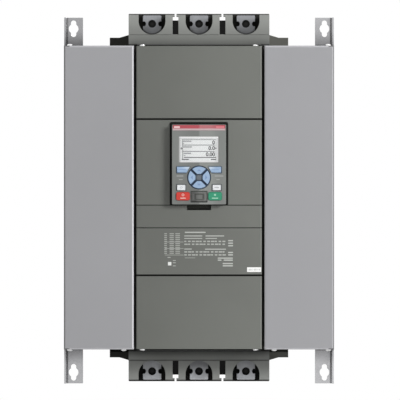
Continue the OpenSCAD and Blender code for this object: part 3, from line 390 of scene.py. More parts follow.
# terminal blocks: heights are millimetres from the body's middle
shroudHalf = 93.0  # half the width of the shrouds
stepPlan = dict(height=218.2, edge=0.4, towerAt=(19.8, 0.8), below=(-1.4, -0.6), above=(1.2, 0.4))
# painted light: the top and bottom shrouds are lit and shaded copies, the bottom one darker
shroudEnds = dict(
    top=dict(tower=0.2, step=0.15, tip=0.45, tipAt=(244.2, 244.8), shelf=0.8, shelfAt=(206.4, 205.6),
             bandTop=0.0, band=0.4, bandAt=(217, 204), shadeColour=grey(0.01)),
    bottom=dict(tower=0.3, step=0.65, tip=0.9, tipAt=(243.5, 244.1), shelf=0.94, shelfAt=(206.8, 206.0),
                bandTop=0.03, band=0.65, bandAt=(216, 205), shadeColour=grey(0.01)))
basePlan = dict(rootAt=(208.6, 206.8), slotHalf=4.5, holeEdge=(5.8, 5.2), coreEdge=(3.2, 1.0))
# painted light: lit and shaded copies for the top and bottom bases, the bottom one darker and glowing less
baseEnds = dict(
    top=dict(basePlan, inside=rgb(50, 50, 48), left=0.3, root=0.0, slot=0.0125, ring=0.006, core=0.011),
    bottom=dict(basePlan, inside=rgb(32, 32, 31), left=0.7, root=0.8, slot=0.0075, ring=0.003, core=0.006))


def shroudShade(look):  # painted shade that deepens towards the body
    edge = stepPlan["edge"]

    def mask(x, z):
        height = fromBody(z)
        off = height - stepPlan["height"]  # from the step between the band and the towers
        tower = off.fade(*stepPlan["towerAt"]) * off.fade(-edge, edge) * look["tower"]
        band = off.fade(edge, -edge) * (look["bandTop"] + height.fade(*look["bandAt"]) * look["band"])
        step = off.fade(*stepPlan["below"]) * off.fade(*stepPlan["above"]) * look["step"]
        shelf = height.fade(*look["shelfAt"]) * look["shelf"]
        tip = height.fade(*look["tipAt"]) * look["tip"]
        return tower.most(band).most(step).most(shelf).most(tip)
    return dict(mask=mask, colour=look["shadeColour"])


def baseZones(look):  # painted shade: darker inside the bays, on the wing away from the light and next to the body
    def inside(x, z):
        return abs(x) < shroudHalf

    def leftWing(x, z):
        return x.fade(1 - shroudHalf, -1 - shroudHalf) * look["left"]

    def root(x, z):
        return fromBody(z).fade(*look["rootAt"]) * look["root"]

    return [dict(mask=inside, colour=look["inside"]), dict(mask=leftWing, colour=black),
            dict(mask=root, colour=black)]


def slotLight(look):  # painted light: a glow for what shows in the barrier slots and cable holes
    def level(x, z):
        far = diagonal(fromPole(x), fromBody(z) - cableHole)
        slot = abs(abs(x) - polePitch / 2) < look["slotHalf"]
        hole = look["ring"] + far.fade(*look["coreEdge"]) * look["core"]
        return slot * look["slot"] + far.fade(*look["holeEdge"]) * hole
    return level


for end in ("top", "bottom"):
    base = baseEnds[end]
    shroudPlastic = mouldedPlastic("shroudGrey_" + end, **shroudLook, zones=[shroudShade(shroudEnds[end])])
    basePlastic = mouldedPlastic("baseBlack_" + end, **baseLook, zones=baseZones(base), paintedGlow=slotLight(base))
    paintNodes(shroudPlastic, "terminal_shroud_" + end)
    paintNodes(basePlastic, "terminal_base_" + end)
paintNodes(mouldedPlastic("frameBlack", rgb(84, 84, 80), specular=0.1), "control_frame")

# terminal bars and what is behind them, one set for each pole
barLook = dict(metal=0.6, rough=0.34, drawn=2.2 * mm, drawnRough=0.2, tones=(0.85, 1.12), depth=0.015 * mm,
               edge=0.6 * mm, wear=0.3, wornTone=1.4, stainSize=16 * mm, stain=0.35, stainTone=0.7,
               stainRough=0.15, tip=243, root=223, notchAt=11.0, notchWide=2.7, notchHigh=3.4,
               notchEdge=(1.15, 0.85), notchTone=0.004, bayAt=235.6, bayIn=13.5, bayOut=16.6)
# painted light: the line, load and centre bars are lit and shaded copies of one tin, each with its own
# brightness and shade
lineLook = dict(barLook, colour=rgb(168, 170, 174), rootShade=0.8, bayShade=0.85)
loadLook = dict(barLook, colour=rgb(192, 194, 198), rootShade=0.68, bayShade=0.0)
centreLook = dict(barLook, colour=rgb(214, 216, 220), rootShade=0.33, bayShade=0.0)
boardLook = dict(colour=rgb(28, 92, 52), tracks=220.0, trackWide=0.02, offset=0.35, copper=0.6,
                 tones=(0.9, 1.9), haze=14 * mm, hazeShare=0.3, hazeTone=0.7, hazeRough=0.15,
                 rough=0.32, coat=0.4, depth=0.03 * mm)
lineTin = tinnedBar("lineTin", lineLook)
loadTin = tinnedBar("loadTin", loadLook)
centreTin = tinnedBar("centreTin", centreLook)
moduleBlack = mouldedPlastic("moduleBlack", rgb(44, 44, 46), rough=0.45)
contactorGrey = mouldedPlastic("contactorGrey", rgb(70, 70, 70), rough=0.5)
coilResin = mouldedPlastic("coilResin", rgb(40, 38, 42), rough=0.35, grain=2.0 * mm)
fanBlack = mouldedPlastic("fanBlack", rgb(30, 30, 31), rough=0.5, edge=0.3 * mm)
for pole in "123":
    paintNodes(lineTin, "line_bar_" + pole)
    paintNodes(centreTin if pole == "2" else loadTin, "load_bar_" + pole)
    paintNodes(moduleBlack, "thyristor_" + pole)
    paintNodes(contactorGrey, "bypass_contactor_" + pole)
    paintNodes(coilResin, "current_transformer_" + pole)
    paintNodes(fanBlack, "fan_frame_" + pole, "fan_rotor_" + pole)
paintNodes(circuitBoard("boardGreen", boardLook), "control_board", "keypad_board")
paintNodes(mouldedPlastic("terminalGreen", rgb(52, 138, 90), rough=0.45), "control_terminals")
print("body finishes on")

# keypad: places are millimetres from the middle of its front
keypadLook = dict(colour=rgb(127, 130, 127), rough=0.48, grain=0.7 * mm, depth=0.015 * mm, edge=0.8 * mm,
                  wear=0.3)
sheenPlan = dict(dull=0.16, dullFrom=(-30.0, -6.0), dullTo=(2.0, -1.0),
                 beside=0.1, besideX=(4.0, -4.0), besideZ=(2.0, -12.0),
                 gloss=0.22, glossFrom=(-1.0, 2.0), glossTo=(30.0, 14.0), glossColour=rgb(176, 180, 176))


def shadedSide(x, z):  # painted shade: the left half turns darker towards the middle, and beside the keys
    towards = x.fade(*sheenPlan["dullFrom"]) * x.fade(*sheenPlan["dullTo"])
    beside = z.fade(*sheenPlan["besideZ"]) * x.fade(*sheenPlan["besideX"])
    return towards * sheenPlan["dull"] + beside * sheenPlan["beside"]


def litSide(x, z):  # painted sheen: the right half turns lighter beside the middle
    return x.fade(*sheenPlan["glossFrom"]) * x.fade(*sheenPlan["glossTo"]) * sheenPlan["gloss"]


keypadZones = [dict(mask=shadedSide, colour=black), dict(mask=litSide, colour=sheenPlan["glossColour"])]
paintNodes(mouldedPlastic("keypadGrey", **keypadLook, zones=keypadZones), "keypad_front")


def boxOff(centre, half):  # how far a place is outside a box
    return lambda x, z: (abs(x - centre[0]) - half[0]).most(abs(z - centre[1]) - half[1])


caseLook = dict(colour=rgb(36, 37, 35), rough=0.5, edge=0.4 * mm, wear=0.05, specular=0.05)
flapLook = dict(colour=rgb(110, 112, 109), rough=0.5, edge=0.5 * mm, wear=0.35)
flapPlan = dict(gripAt=(0.3, -43.3), gripHalf=(4.4, 2.8), gripIn=(-0.6, 0.6), gripOut=(2.2, 1.0),
                grip=rgb(68, 70, 66), shade=0.52, shadeAt=(1.0, -6.5))
tabPlan = dict(top=-53.8, colour=rgb(57, 59, 55))
socketLook = dict(colour=rgb(200, 200, 200), spangle=1.5 * mm, metal=0.9, rough=0.25, wear=0.3, crease=1 * mm)


def releaseTab(x, z):
    return z < tabPlan["top"]


def gripRing(x, z):  # painted shade in a band round the flap's grip
    off = boxOff(flapPlan["gripAt"], flapPlan["gripHalf"])(x, z)
    return off.fade(*flapPlan["gripIn"]) * off.fade(*flapPlan["gripOut"])


def flapShade(x, z):  # the flap's side away from the light
    return x.fade(*flapPlan["shadeAt"]) * flapPlan["shade"]


tabZone = dict(mask=releaseTab, colour=tabPlan["colour"])
flapZones = [dict(mask=gripRing, colour=flapPlan["grip"]), dict(mask=flapShade, colour=black)]
paintNodes(mouldedPlastic("keypadBlack", **caseLook, zones=[tabZone]), "keypad_case")
paintNodes(mouldedPlastic("flapGrey", **flapLook, zones=flapZones), "usb_flap")
paintNodes(zincSheet("socketShell", socketLook), "usb_socket")

rubberGrain = dict(fine=0.6 * mm, broad=9 * mm, edge=0.7 * mm, depth=0.01 * mm, tones=(0.94, 1.06), wear=0.35,
                   wornTone=1.3, rough=0.52, roughSpread=0.15, front=-0.9)


def keyRubber(name, colour, prints):
    look = rubberGrain
    f = Finish(name)
    x, z = f.fromKeypad()
    fine = f.noise(look["fine"], detail=2.0)
    broad = f.noise(look["broad"], detail=2.0)
    soft, rim = f.edges(look["edge"])
    tone = f.vary(broad, colour, look["tones"])
    tone = f.mix(rim * look["wear"], tone, shade(colour, look["wornTone"]))
    front = f.facing() < look["front"]  # no print on the sides of a key
    for mark, ink, share in prints:
        tone = f.mix(mark(x, z) * front * share, tone, ink)
    return f.dress(colour=tone, rough=look["rough"] + (fine - 0.5) * look["roughSpread"],
                   normal=f.bump(fine, look["depth"], soft))


def barMark(centre, half):  # a short bar of print
    return lambda x, z: (abs(x - centre[0]) < half[0]) * (abs(z - centre[1]) < half[1])


def ringMark(centre, radii):  # a ring, or a dot where the inner radius is 0
    def mark(x, z):
        far = diagonal(x - centre[0], z - centre[1])
        return (far < radii[0]) * (far > radii[1])
    return mark


def paintKey(key, colour, *prints):  # each print is its mark, its ink and how well that covers
    paintNodes(keyRubber(key + "Rubber", colour, prints), key)


navZ = -17.4  # height of the dark ring's middle
arrowKeys = dict(colour=rgb(158, 184, 214), out=9.6, slope=0.9, tip=1.5, foot=-1.3, ink=rgb(122, 146, 190),
                 cover=0.75, outline=rgb(34, 52, 78), slotEdge=(2.7, 2.0), slotCover=0.9,
                 rimEdge=(13.9, 14.6), rimSide=(2.0, -9.0), rimCover=0.8)
arrowTurns = dict(up=0, right=90, down=180, left=270)


def arrowMark(centre, angle, look):  # a triangle that points outwards
    c, s = math.cos(angle), math.sin(angle)

    def mark(x, z):
        across = (x - centre[0]) * c - (z - centre[1]) * s
        along = (x - centre[0]) * s + (z - centre[1]) * c
        return (abs(across) * look["slope"] + along < look["tip"]) * (along > look["foot"])
    return mark


def slotMark(x, z):  # painted shade beside the slots between the arrow keys
    return abs(abs(x) - abs(z - navZ)).fade(*arrowKeys["slotEdge"])


def rimMark(x, z):  # dark outline on the side away from the light
    return diagonal(x, z - navZ).fade(*arrowKeys["rimEdge"]) * x.fade(*arrowKeys["rimSide"])


for key, turn in arrowTurns.items():
    angle = math.radians(turn)
    out = (arrowKeys["out"] * math.sin(angle), navZ + arrowKeys["out"] * math.cos(angle))
    paintKey("arrow_key_" + key, arrowKeys["colour"],
             (arrowMark(out, angle, arrowKeys), arrowKeys["ink"], arrowKeys["cover"]),
             (slotMark, arrowKeys["outline"], arrowKeys["slotCover"]),
             (rimMark, arrowKeys["outline"], arrowKeys["rimCover"]))

softKeys = dict(colour=rgb(158, 184, 214), x=22, z=-6.9, bar=(4.5, 0.5), ink=rgb(132, 158, 200), cover=0.75,
                sheen=rgb(226, 236, 246), sheenX=(25.0, 13.0), sheenZ=(-7.6, -4.2), sheenCover=0.65)


def sheenMark(x, z):  # painted highlight on the upper corner beside the ring
    return abs(x).fade(*softKeys["sheenX"]) * z.fade(*softKeys["sheenZ"])


for key, side in (("left", -1), ("right", 1)):
    bar = barMark((softKeys["x"] * side, softKeys["z"]), softKeys["bar"])
    paintKey("soft_key_" + key, softKeys["colour"],
             (sheenMark, softKeys["sheen"], softKeys["sheenCover"]),
             (bar, softKeys["ink"], softKeys["cover"]))

whiteKeys = dict(colour=rgb(238, 241, 243), x=23.7, z=-30.8, half=5.2, ends=rgb(120, 124, 128), endCover=0.8,
                 ring=(1.7, 1.0), bar=(3.2, 0.8), ink=rgb(150, 152, 158), cover=0.6)


def endMark(middle):  # dark ends that narrow a white key
    return lambda x, z: abs(x - middle) > whiteKeys["half"]


def paintWhiteKey(key, side, makeMark, size, look):
    middle = look["x"] * side
    paintKey(key, look["colour"], (endMark(middle), look["ends"], look["endCover"]),
             (makeMark((middle, look["z"]), size), look["ink"], look["cover"]))


paintWhiteKey("help_key", -1, ringMark, whiteKeys["ring"], whiteKeys)
paintWhiteKey("mode_key", 1, barMark, whiteKeys["bar"], whiteKeys)

pushKeys = dict(x=21.4, ringZ=-40.6, ringCover=0.7, barZ=-45.0, barCover=0.75)
stopKey = dict(pushKeys, colour=rgb(206, 62, 52), side=-1, ring=(1.8, 0.9), bar=(3.6, 0.7),
               ink=rgb(238, 214, 206))
startKey = dict(pushKeys, colour=rgb(50, 147, 112), side=1, ring=(1.4, 0.0), bar=(4.2, 0.7),
                ink=rgb(190, 232, 208))


def paintPushKey(key, look):  # a ring over a short bar
    middle = look["x"] * look["side"]
    paintKey(key, look["colour"],
             (ringMark((middle, look["ringZ"]), look["ring"]), look["ink"], look["ringCover"]),
             (barMark((middle, look["barZ"]), look["bar"]), look["ink"], look["barCover"]))


paintPushKey("stop_key", stopKey)
paintPushKey("start_key", startKey)

ringLook = dict(ring=rgb(34, 54, 76), hub=rgb(94, 100, 107), hubEdge=(3.4, 3.7), dishEdge=(2.6, 1.6),
                dishTone=1.15, fine=0.7 * mm, edge=0.4 * mm, depth=0.01 * mm, wear=0.2, wornTone=2.0,
                rough=0.5, roughSpread=0.12)


def ringFinish(look):
    f = Finish("ringNavy")
    x, z = f.fromKeypad()
    up = z - navZ
    fine = f.noise(look["fine"], detail=2.0)
    soft, rim = f.edges(look["edge"])
    square = abs(x).most(abs(up))
    tone = f.mix(square.fade(*look["hubEdge"]), look["hub"], look["ring"])
    dish = diagonal(x, up).fade(*look["dishEdge"])  # painted highlight: a lighter middle of the hub, for its dish
    tone = f.mix(dish, tone, shade(look["hub"], look["dishTone"]))
    tone = f.mix(rim * look["wear"], tone, shade(look["ring"], look["wornTone"]))
    return f.dress(colour=tone, rough=look["rough"] + (fine - 0.5) * look["roughSpread"],
                   normal=f.bump(fine, look["depth"], soft))


paintNodes(ringFinish(ringLook), "nav_ring")

stripLook = dict(red=rgb(180, 73, 83), tones=(0.94, 1.08), sweep=50 * mm, gloss=0.6, glossTone=0.8,
                 line=rgb(202, 174, 177), lineHeight=2.5, lineEdge=0.1,
                 weave=0.5 * mm, weaveRough=0.1, depth=0.005 * mm, rough=0.3, coat=0.2)


def stripFinish(look):
    f = Finish("stripRed")
    x, z = f.fromKeypad()
    lineTop = (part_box("title_strip")[0].z - midZ) / mm + look["lineHeight"]
    weave = f.noise(look["weave"], detail=2.0)
    sweep = f.noise(look["sweep"], detail=1.0)
    tone = f.vary(sweep, look["red"], look["tones"])
    # painted sheen on the right half, as on the keypad
    tone = f.mix(litSide(x, z) * look["gloss"], tone, grey(look["glossTone"]))
    tone = f.mix(z.fade(lineTop, lineTop - look["lineEdge"]), tone, look["line"])  # pale line along its foot
    return f.dress(colour=tone, rough=look["rough"] + weave * look["weaveRough"], coat=look["coat"],
                   normal=f.bump(weave, look["depth"]))


paintNodes(stripFinish(stripLook), "title_strip")

screenLook = dict(pale=rgb(228, 230, 230), dull=0.6, dullAt=(-2, -24), dullTone=0.85,
                  glow=0.1, right=0.28, rightAt=(18.2, 21), haze=18 * mm, hazeDull=0.12, hazeRough=0.1,
                  fleck=0.5 * mm, fleckDull=0.06, rough=0.35)


def screenFinish(look):
    f = Finish("screenPale")
    x = f.axes()[0] / mm
    haze = f.noise(look["haze"], detail=2.0)
    fleck = f.noise(look["fleck"], detail=2.0)
    mottle = haze * look["hazeDull"] + fleck * look["fleckDull"]
    # mottle, and painted shade that darkens the left side
    dull = mottle + x.fade(*look["dullAt"]) * look["dull"]
    tone = f.mix(dull, look["pale"], shade(look["pale"], look["dullTone"]))
    f.glow(look["glow"] + x.fade(*look["rightAt"]) * look["right"], tone)  # backlight glow, with painted light at the right that fills the recess's shade
    return f.dress(colour=tone, rough=look["rough"] + haze * look["hazeRough"])


paintNodes(screenFinish(screenLook), "lcd_module")

windowLook = dict(clear=grey(0.92), print=grey(0.3), printGlow=0.5, right=0.04, top=0.2, left=0.3, cover=0.92,
                  centre=(-0.48, 20.05), half=(26.2, 17.1), border=1.75, seam=grey(0.05), seamLit=0.19,
                  seamEdge=0.15, edge=0.5, smear=24 * mm, smearRough=0.06, smearHaze=0.02,
                  rough=0.06, haze=0.02)


def windowFinish(look):
    f = Finish("windowClear")
    x, z = f.fromKeypad()
    across, up = x - look["centre"][0], z - look["centre"][1]
    halfWide, halfHigh = look["half"]
    inner, edge = -look["border"], look["edge"]
    off = boxOff((0.0, 0.0), look["half"])(across, up)
    border = off.fade(inner, inner + edge)  # pale print round the picture
    seam = off.fade(-look["seamEdge"], look["seamEdge"])  # grey gap outside the print
    right, left, top = [side.fade(inner - edge, inner + edge)
                        for side in (across - halfWide, -1 * across - halfWide, up - halfHigh)]
    # painted light: the print and the gap glow, more at the right and top and less at the left, filling the
    # shade of the recess
    lit = look["printGlow"] + right * look["right"] + top * look["top"] - left * look["left"]
    lit = lit * (1 - seam) + seam * look["seamLit"]
    smear = f.noise(look["smear"], detail=3.0)
    ink = f.mix(seam, look["print"], look["seam"])
    tone = f.mix(border, look["clear"], ink)
    f.glow(border * lit, fullWhite)
    return f.dress(colour=tone, rough=look["rough"] + smear * look["smearRough"],
                   alpha=look["haze"] + smear * look["smearHaze"] + border * look["cover"])


paintNodes(windowFinish(windowLook), "display_window")
print("keypad finishes on")

inkGrain = dict(fleck=0.35 * mm, broad=8 * mm, fleckTone=0.7, rough=0.5, roughSpread=0.12, depth=0.004 * mm)


def inkFinish(name, colour, patchy=0.15):
    f = Finish(name)
    fleck = f.noise(inkGrain["fleck"], detail=3.0)
    broad = f.noise(inkGrain["broad"], detail=2.0)
    tone = f.mix(fleck * patchy, colour, shade(colour, inkGrain["fleckTone"]))
    return f.dress(colour=tone, rough=inkGrain["rough"] + broad * inkGrain["roughSpread"],
                   normal=f.bump(fleck, inkGrain["depth"]))


plateCut = dict(most=0.25, ofWidth=0.2, ofHeight=0.3, span=4)  # cut corners, and the longest flat stretch


# printed plates that follow a front face; frontAt gives its depth at x
def inkPlates(name, body, frontAt, boxes, ink, thick=0.05 * mm):
    form = bmesh.new()
    for x0, x1, z0, z1 in boxes:
        cut = min(plateCut["most"], (x1 - x0) * plateCut["ofWidth"], (z1 - z0) * plateCut["ofHeight"])
        steps = max(1, round((x1 - x0) / plateCut["span"]))
        inner = x1 - x0 - 2 * cut
        columns = [(x0, cut)] + [(x0 + cut + inner * i / steps, 0) for i in range(steps + 1)] + [(x1, cut)]
        rings = []
        for x, inset in columns:
            y = frontAt(x)
            corners = ((y - thick, z0 + inset), (y - thick, z1 - inset), (y, z1 - inset), (y, z0 + inset))
            rings.append([form.verts.new((x * mm, depth, midZ + z * mm)) for depth, z in corners])
        for near, far in zip(rings, rings[1:]):
            for i in range(4):
                form.faces.new((near[i], near[i - 1], far[i - 1], far[i]))
        form.faces.new(rings[0])
        form.faces.new(rings[-1][::-1])
    bmesh.ops.recalc_face_normals(form, faces=form.faces)
    mesh = bpy.data.meshes.new(name)
    form.to_mesh(mesh)
    form.free()
    mesh.materials.append(ink)
    piece = bpy.data.objects.new(name, mesh)
    scene.collection.objects.link(piece)
    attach(piece, body)


def onKeypad(x):
    return faceY


# light print on the keypad's front
keypadPrint = dict(ink=rgb(178, 180, 178), left=[(-30, -21, -15.9, -14.9), (-27, -21.8, -20.6, -19.8)],
                   right=[(21, 32.6, -15.9, -14.9), (23.2, 27.6, -20.6, -19.8)])
inkPlates("keypad_print", "keypad", onKeypad, keypadPrint["left"] + keypadPrint["right"],
          inkFinish("keypadInk", keypadPrint["ink"]))

# painted shade: dark borders on the keypad's front that stand for the shade in the gaps round openings, each
# opening with the width of its border
whiteBorders = dict(ink=rgb(70, 76, 80),
                    openings=[(-29.8, -17.6, -34.8, -26.9, 0.7), (17.6, 29.8, -34.8, -26.9, 0.7)])
flapBorder = dict(ink=rgb(46, 48, 46), openings=[(-10.5, 10.5, -50.0, -36.0, 0.8)])
softBorder = dict(ink=rgb(52, 72, 92),
                  bars=[(16.9, 30.4, -12.0, -11.2), (29.8, 30.6, -11.6, -2.8), (12.0, 30.0, -2.7, -2.2)])


def keyBorders(name, look, ink):  # four bars around each opening
    boxes = []
    for x0, x1, z0, z1, w in look["openings"]:
        boxes += [(x0 - w, x0, z0 - w, z1 + w), (x1, x1 + w, z0 - w, z1 + w)]
        boxes += [(x0, x1, z0 - w, z0), (x0, x1, z1, z1 + w)]
    inkPlates(name, "keypad", onKeypad, boxes, inkFinish(ink, look["ink"]))


def softBorders(look):  # the same bars on the left and on the right
    boxes = []
    for side in (-1, 1):
        for x0, x1, z0, z1 in look["bars"]:
            boxes.append((min(side * x0, side * x1), max(side * x0, side * x1), z0, z1))
    inkPlates("soft_key_borders", "keypad", onKeypad, boxes,
              inkFinish("softBorderShade", look["ink"]))


keyBorders("white_key_borders", whiteBorders, "borderShade")
keyBorders("flap_border", flapBorder, "flapGapShade")
softBorders(softBorder)

# pale bars on the red strip
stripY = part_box("title_strip")[0].y
stripPlan = dict(pale=rgb(240, 205, 205), rose=rgb(222, 128, 136),
                 left=[(-33.4, -25.6, 48.6, 51.2)], right=[(22.6, 33.8, 48.6, 51.2)])


def onStrip(x):
    return stripY


inkPlates("strip_bars", "keypad", onStrip, stripPlan["left"],
          inkFinish("stripInk", stripPlan["pale"]))
inkPlates("strip_bar_right", "keypad", onStrip, stripPlan["right"],
          inkFinish("stripRose", stripPlan["rose"]))

# the display's picture: fields, short bars and plain numbers
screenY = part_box("lcd_module")[0].y
screenPlan = dict(ink=rgb(128, 130, 133), dark=rgb(54, 56, 59), pale=rgb(156, 158, 160),
                  fields=[(-22.7, 22.6, 32.8, 33.6), (-21.6, 21.4, 25.4, 26.4), (-22.2, 20.8, 16.9, 17.9),
                          (-24.6, -21.6, 20.2, 22.8), (21.7, 23.3, 20.6, 22.6)],
                  words=[(-21.4, -10.2, 30.3, 31.9), (-22.3, -20.0, 27.7, 28.7), (-21.4, -9.4, 22.6, 24.2),
                         (-20.8, -10.6, 14.1, 15.7), (-20.6, -18.0, 11.6, 12.6),
                         (-22.4, -21.3, 23.0, 32.6), (-22.4, -21.3, 6.0, 20.0)],
                  foot=[(-20.4, 22.8, 8.9, 9.9), (-23, -13.6, 6.2, 7.4), (15.8, 22.8, 6.2, 7.4)])
numberPlan = dict(values=[("0", 27.0), ("0.0", 19.5), ("0.00", 11.2)], size=7.0 * mm, bold=0.2 * mm,
                  thick=0.02 * mm, right=21.2 * mm, proud=0.03 * mm)


def onScreen(x):
    return screenY


def screenNumber(words, z, plan, ink):  # flush right
    curve = bpy.data.curves.new("screen_number_" + words.replace(".", "_"), "FONT")
    curve.body, curve.size, curve.align_x = words, plan["size"], "RIGHT"
    curve.extrude, curve.offset = plan["thick"], plan["bold"]
    curve.materials.append(ink)
    number = bpy.data.objects.new(curve.name, curve)
    number.rotation_euler = (math.pi / 2, 0, 0)
    number.location = (plan["right"], screenY - plan["proud"], midZ + z * mm)
    scene.collection.objects.link(number)
    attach(number, "keypad")


inkPlates("screen_fields", "keypad", onScreen, screenPlan["fields"],
          inkFinish("screenInk", screenPlan["ink"]))
inkPlates("screen_words", "keypad", onScreen, screenPlan["words"],
          inkFinish("screenWords", screenPlan["pale"]))
inkPlates("screen_foot", "keypad", onScreen, screenPlan["foot"],
          inkFinish("screenDark", screenPlan["dark"]))
digitInk = inkFinish("digitInk", screenPlan["dark"])
for words, z in numberPlan["values"]:
    screenNumber(words, z, numberPlan, digitInk)
print("display drawn")

# print and label on the column; heights are from the middle of the fixing holes
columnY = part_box("terminal_cover")[0].y
crownPlan = dict(half=82.0, height=4.0)
crownRadius = (crownPlan["half"] ** 2 + crownPlan["height"] ** 2) / (2 * crownPlan["height"])


def onColumn(x):
    return columnY + (crownRadius - math.sqrt(crownRadius ** 2 - x * x)) * mm


def columnBars(name, bars, ink, thick=0.05 * mm):
    boxes = [(x0, x1, z0 - midZ / mm, z1 - midZ / mm) for x0, x1, z0, z1 in bars]
    inkPlates(name, "starter", onColumn, boxes, ink, thick)


ratingPlan = dict(bright=rgb(196, 198, 193), mid=rgb(186, 188, 183), pale=rgb(172, 174, 169),
                  mark=rgb(244, 245, 242), markBox=(-41.5, -36.9, -86.7, -82.1), headWear=0.3, wear=0.4)
headPlan = dict(above=[(-18.9, 8.7, -43.3, -41.7), (-19.7, 4.4, -47.9, -46.7), (8.7, 33.6, -47.9, -46.7),
                       (-19.7, 4.4, -51.1, -50.1), (8.7, 24, -51.1, -50.1), (-19.7, -9.8, -65.4, -64.2),
                       (8, 36, -65.6, -64.4)],
                side=(39, 45.4), sideHalf=0.8, sideRows=(-53.6, -57, -60.4, -69.4, -72.6),
                below=[(25, 45.2, -77.7, -76.2), (25, 30, -80.4, -78.8), (33, 45.2, -80.4, -78.8),
                       (31.7, 45.2, -85, -83.4), (31.7, 45.2, -88, -86.4)])
rowPlan = dict(single=[(-18.9, -5, -76.9, -76.3), (-42, -38, -76.6, -75.4), (-35, -31, -80.6, -79.6),
                       (-35, -31, -83.6, -82.6), (-35, -31, -87.8, -86.8)],
               rows=(-54.6, -58.4, -68.6, -72.6), half=0.85, left=-19.7, pitch=5.1, count=11,
               shortest=2.8, growth=0.6)
tablePlan = dict(lines=(-55.4, -64.1, -72.8), lineSpan=(-45.7, -20.6), lineHalf=0.4,
                 columns=((-46.4, -42.8), (-39.4, -33.6), (-31.6, -25.4)),
                 rows=11, foot=-45.1, head=-43.7, step=2.6)


def headBars(plan):
    side = [(*plan["side"], z - plan["sideHalf"], z + plan["sideHalf"]) for z in plan["sideRows"]]
    return plan["above"] + side + plan["below"]


def rowBars(plan):  # single bars, then rows of bars of uneven length
    bars = list(plan["single"])
    for row, z in enumerate(plan["rows"]):
        for i in range(plan["count"]):
            left = plan["left"] + i * plan["pitch"]
            length = plan["shortest"] + (i * 5 + row * 3) % 4 * plan["growth"]
            bars.append((left, left + length, z - plan["half"], z + plan["half"]))
    return bars


def tableBars(plan):
    bars = [(*plan["lineSpan"], z - plan["lineHalf"], z + plan["lineHalf"]) for z in plan["lines"]]
    for row in range(plan["rows"]):
        drop = row * plan["step"]
        bars += [(x0, x1, plan["foot"] - drop, plan["head"] - drop) for x0, x1 in plan["columns"]]
    return bars


columnBars("rating_heads", headBars(headPlan),
           inkFinish("ratingBright", ratingPlan["bright"], ratingPlan["headWear"]))
columnBars("rating_rows", rowBars(rowPlan),
           inkFinish("ratingMid", ratingPlan["mid"], ratingPlan["wear"]))
columnBars("rating_table", tableBars(tablePlan),
           inkFinish("ratingPale", ratingPlan["pale"], ratingPlan["wear"]))
columnBars("rating_mark", [ratingPlan["markBox"]],
           inkFinish("ratingWhite", ratingPlan["mark"]))

stickerPlan = dict(paper=rgb(254, 254, 252), ink=rgb(196, 198, 196), box=(64.2, 83.0, -95.4, -89.2),
                   paperWear=0.05, paperThick=0.08 * mm, inkThick=0.1 * mm, left=65.4, pitch=1.7, count=10,
                   thinnest=0.5, growth=0.22, foot=-93.6, head=-91.0)


def stickerBars(plan):
    bars = []
    for i in range(plan["count"]):
        left = plan["left"] + i * plan["pitch"]
        width = plan["thinnest"] + (i * 3 % 4) * plan["growth"]
        bars.append((left, left + width, plan["foot"], plan["head"]))
    return bars


columnBars("serial_sticker", [stickerPlan["box"]],
           inkFinish("stickerPaper", stickerPlan["paper"], stickerPlan["paperWear"]),
           stickerPlan["paperThick"])
columnBars("sticker_bars", stickerBars(stickerPlan),
           inkFinish("stickerInk", stickerPlan["ink"]), stickerPlan["inkThick"])
print("column print on")

# stage
floorPlan = dict(height=-0.6, halfWidth=3.0, front=-3.5, back=2.5, colour=rgb(246, 246, 246), patchy=0.02)


def floorFinish(plan):  # pale from above and clear from below, so that the underside can be looked at
    paint = inkFinish("floorPale", plan["colour"], plan["patchy"])
    tree = paint.node_tree
    b = Bench(tree)
    fromBelow = b.node("NewGeometry", out="Backfacing")
    pale = Wire(b, tree.nodes["Principled BSDF"].outputs["BSDF"])
    both = b.node("MixShader", None, {0: fromBelow, 1: pale, 2: b.node("BsdfTransparent")})
    tree.links.new(both.socket, tree.nodes["Material Output"].inputs["Surface"])
    return paint


def makeFloor(plan):
    form = bmesh.new()
    corners = [(-plan["halfWidth"], plan["front"]), (plan["halfWidth"], plan["front"]),
               (plan["halfWidth"], plan["back"]), (-plan["halfWidth"], plan["back"])]
    form.faces.new([form.verts.new((x, y, plan["height"])) for x, y in corners])
    mesh = bpy.data.meshes.new("floor")
    form.to_mesh(mesh)
    form.free()
    mesh.materials.append(floorFinish(plan))
    floor = bpy.data.objects.new("floor", mesh)
    scene.collection.objects.link(floor)


makeFloor(floorPlan)

lampAim = (0, -0.15, 0)
lampPlan = dict(key=dict(place=(3.3, -2.8, 1.5), size=1.4, power=170.0),
                fill=dict(place=(-2.6, -3.2, 1.0), size=1.6, power=3.0))


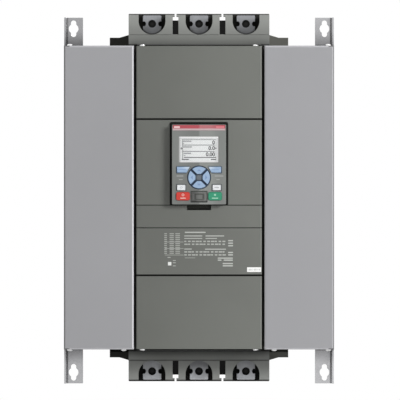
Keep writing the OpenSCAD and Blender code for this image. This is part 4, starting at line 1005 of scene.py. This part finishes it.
def softLamp(name, plan):
    lamp = bpy.data.lights.new(name, "AREA")
    lamp.shape, lamp.size, lamp.energy = "DISK", plan["size"], plan["power"]
    holder = bpy.data.objects.new(name, lamp)
    holder.location = plan["place"]
    holder.rotation_euler = (Vector(lampAim) - Vector(plan["place"])).to_track_quat("-Z", "Y").to_euler()
    scene.collection.objects.link(holder)


for name, plan in lampPlan.items():
    softLamp(name + "_lamp", plan)

worldLook = dict(bright=(0.5, -0.45, 0.74), spread=(-0.8, 0.9), low=0.07, high=0.27)


def makeWorld(look):  # a dim dome that is brighter on one side, and white where it is seen
    world = bpy.data.worlds.new("studio")
    world.use_nodes = True
    scene.world = world
    tree = world.node_tree
    b = Bench(tree)
    direct, mirrored, through = [b.node("LightPath", out=ray)
                                 for ray in ("Is Camera Ray", "Is Glossy Ray", "Is Transmission Ray")]
    seen = direct.most(mirrored).most(through)
    outwards = b.node("TexCoord", out="Generated")
    toward = b.node("VectorMath", {"operation": "DOT_PRODUCT"}, {0: outwards, 1: look["bright"]}, out="Value")
    dome = look["low"] + (look["high"] - look["low"]) * toward.fade(*look["spread"])
    dim = b.node("Background", None, {"Color": fullWhite, "Strength": dome})
    white = b.node("Background", None, {"Color": fullWhite, "Strength": 1.0})
    both = b.node("MixShader", None, {0: seen, 1: dim, 2: white})
    tree.links.new(both.socket, tree.nodes["World Output"].inputs["Surface"])


makeWorld(worldLook)
scene.view_settings.view_transform = "Standard"

# camera: a very long lens, because the picture has almost no perspective
cameraPlan = dict(lens=1600.0, sensor=36.0, frameWidth=0.5344, planeY=-0.270, centre=(0.00134, 0.0007),
                  clipStart=0.5, clipBeyond=10)


def makeCamera(plan):
    data = bpy.data.cameras.new("camera")
    data.lens, data.sensor_width = plan["lens"], plan["sensor"]
    distance = plan["frameWidth"] * plan["lens"] / plan["sensor"]
    data.clip_start, data.clip_end = plan["clipStart"], distance + plan["clipBeyond"]
    camera = bpy.data.objects.new("camera", data)
    camera.location = (plan["centre"][0], plan["planeY"] - distance, plan["centre"][1])
    camera.rotation_euler = (math.pi / 2, 0, 0)
    scene.collection.objects.link(camera)
    scene.camera = camera


makeCamera(cameraPlan)
print("stage set")
